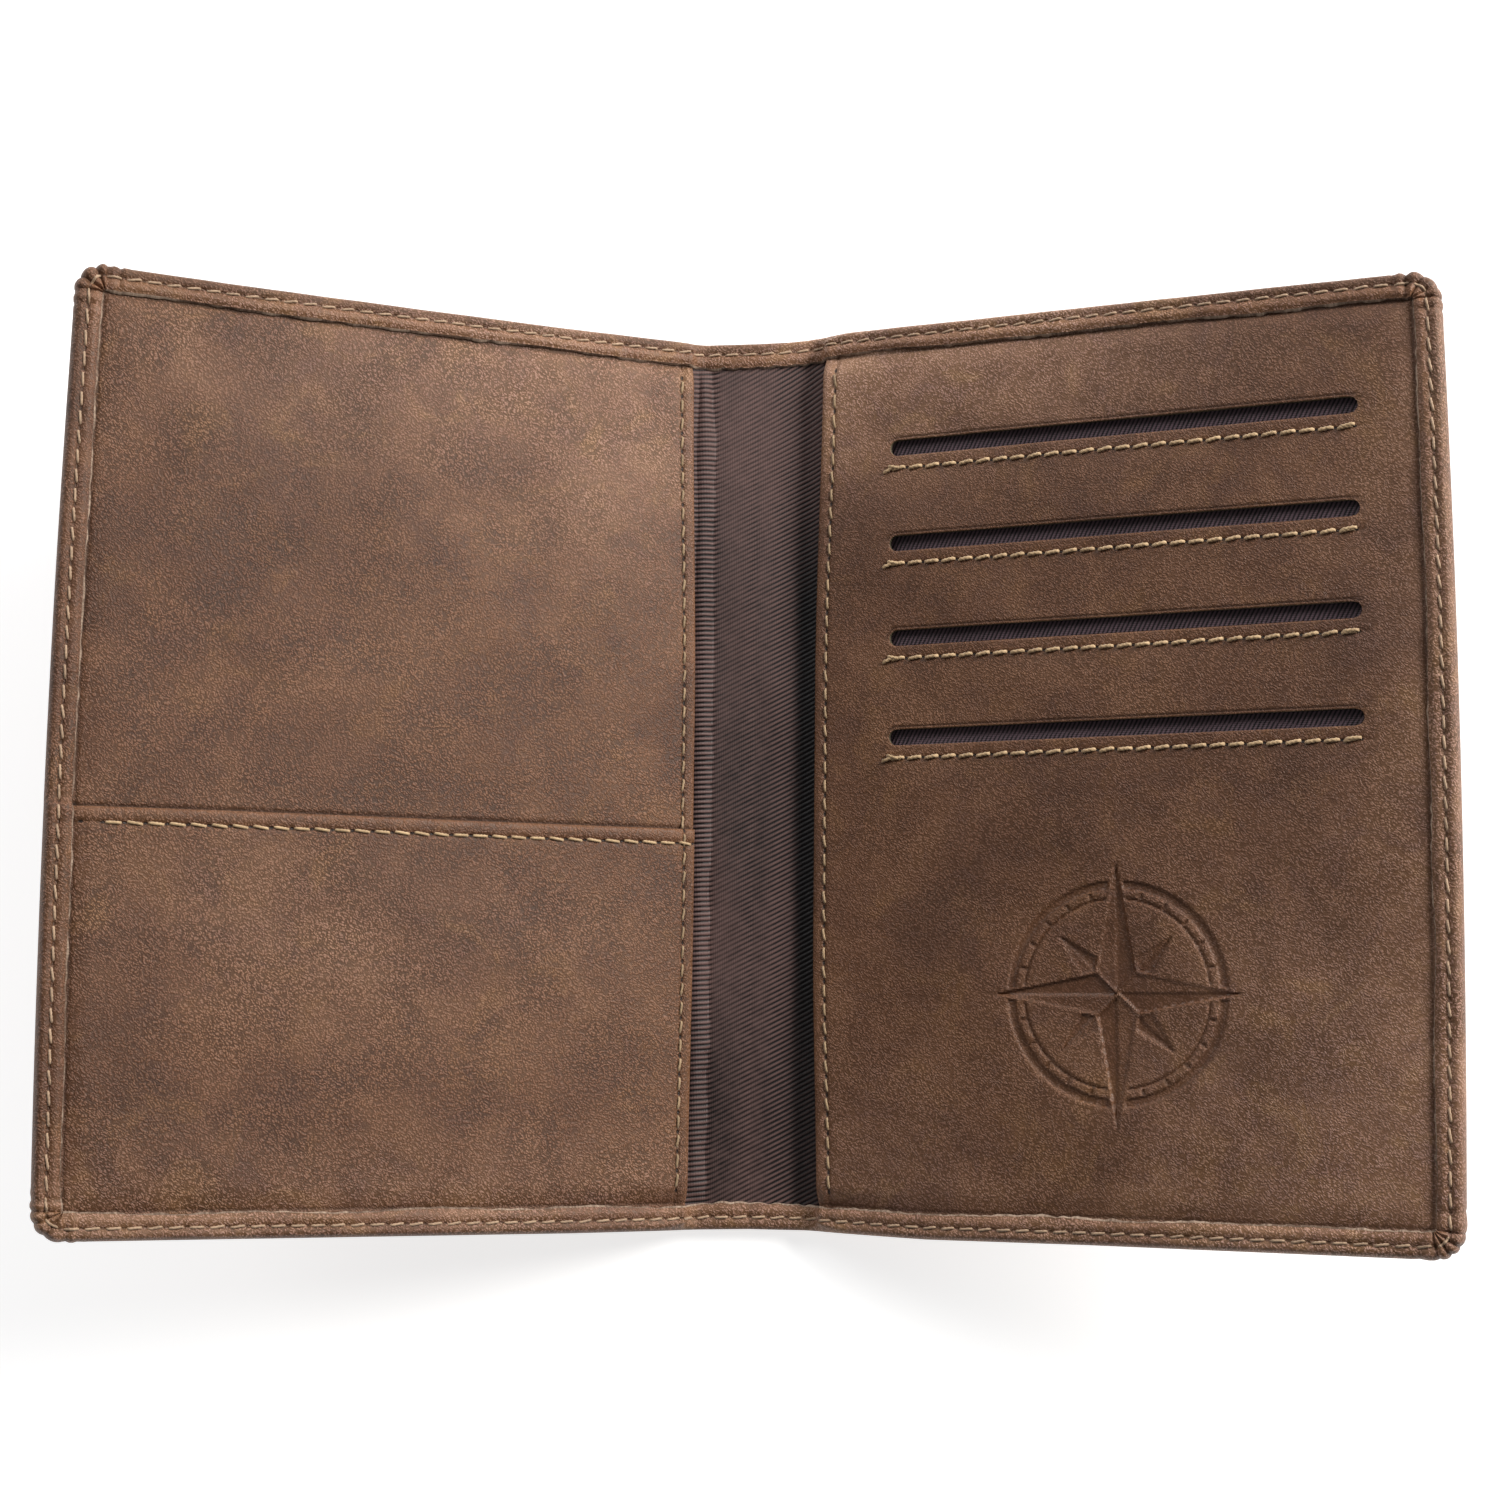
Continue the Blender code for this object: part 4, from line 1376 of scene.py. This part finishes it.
def make_wallet():
    materials = make_materials()
    for name in SIDES:
        inner_line, outer_line, pitch = make_skin(name, materials)
        make_hem_threads(name, inner_line, outer_line, pitch, materials)
        make_gutter_lining(name, materials)
        make_inner_lining(name, materials)
    make_sleeve(materials)
    make_pocket(materials)
    make_card_panel(materials)
    for number, place in enumerate(SLOTS, 1):
        make_slot_lining(number, place, materials)
    make_edge_threads(materials)
    make_pocket_thread(materials)
    make_slot_threads(materials)
    dress_hidden_nodes(materials)


# ---------------------------------------------------------------- stage, light and camera

CAMERA_PLACE = (0.00692, -0.04323, 0.37654)
CAMERA_BACK = Vector((0.02014, -0.12658, 0.99175))
CAMERA_RIGHT = Vector((0.99976, 0.01111, -0.01888))
CAMERA_LENS = 57.26
FLOOR_REACH = 3.0       # metres, each way


def make_camera():
    data = bpy.data.cameras.new("camera")
    data.lens = CAMERA_LENS
    data.sensor_width = 36.0
    data.clip_start = 0.01
    camera = bpy.data.objects.new("camera", data)
    back = CAMERA_BACK.normalized()
    right = (CAMERA_RIGHT - back * CAMERA_RIGHT.dot(back)).normalized()
    up = back.cross(right)
    turn = Matrix((right, up, back)).transposed().to_4x4()
    camera.matrix_world = Matrix.Translation(CAMERA_PLACE) @ turn
    bpy.context.scene.collection.objects.link(camera)
    bpy.context.scene.camera = camera


def make_floor():
    mesh = bpy.data.meshes.new("floor")
    corners = [(-FLOOR_REACH, -FLOOR_REACH, 0), (FLOOR_REACH, -FLOOR_REACH, 0),
               (FLOOR_REACH, FLOOR_REACH, 0), (-FLOOR_REACH, FLOOR_REACH, 0)]
    mesh.from_pydata(corners, [], [(0, 1, 2, 3)])
    mesh.materials.append(Nodes("floor_white").finish({
        "Base Color": (0.62, 0.62, 0.62, 1.0), "Roughness": 0.8,
        "Emission Color": (1.0, 1.0, 1.0, 1.0), "Emission Strength": 0.72,
    }))
    floor = bpy.data.objects.new("floor", mesh)
    floor.location.z = -0.0003
    bpy.context.scene.collection.objects.link(floor)


def add_light(name, place, size, power, colour=(1, 1, 1)):
    data = bpy.data.lights.new(name, "AREA")
    data.shape = "RECTANGLE"
    data.size, data.size_y = size
    data.energy = power
    data.color = colour
    light = bpy.data.objects.new(name, data)
    light.location = place
    light.rotation_euler = (-Vector(place)).to_track_quat("-Z", "Y").to_euler()
    bpy.context.scene.collection.objects.link(light)


def make_lights():
    world = bpy.data.worlds.new("world")
    bpy.context.scene.world = world
    world.use_nodes = True
    world.node_tree.nodes["Background"].inputs["Color"].default_value = (1, 1, 1, 1)
    world.node_tree.nodes["Background"].inputs["Strength"].default_value = 0.15
    add_light("key", (0.72, 0.45, 0.53), (0.45, 0.45), 13.8, (1.0, 0.97, 0.93))
    add_light("rim", (-0.6, 0.62, 0.5), (0.4, 0.4), 2.6, (1.0, 0.98, 0.97))
    add_light("back", (-0.05, 0.85, 0.62), (1.1, 0.45), 2.8, (0.95, 0.97, 1.0))


make_wallet()
make_camera()
make_floor()
make_lights()
bpy.context.scene.view_settings.view_transform = "Standard"
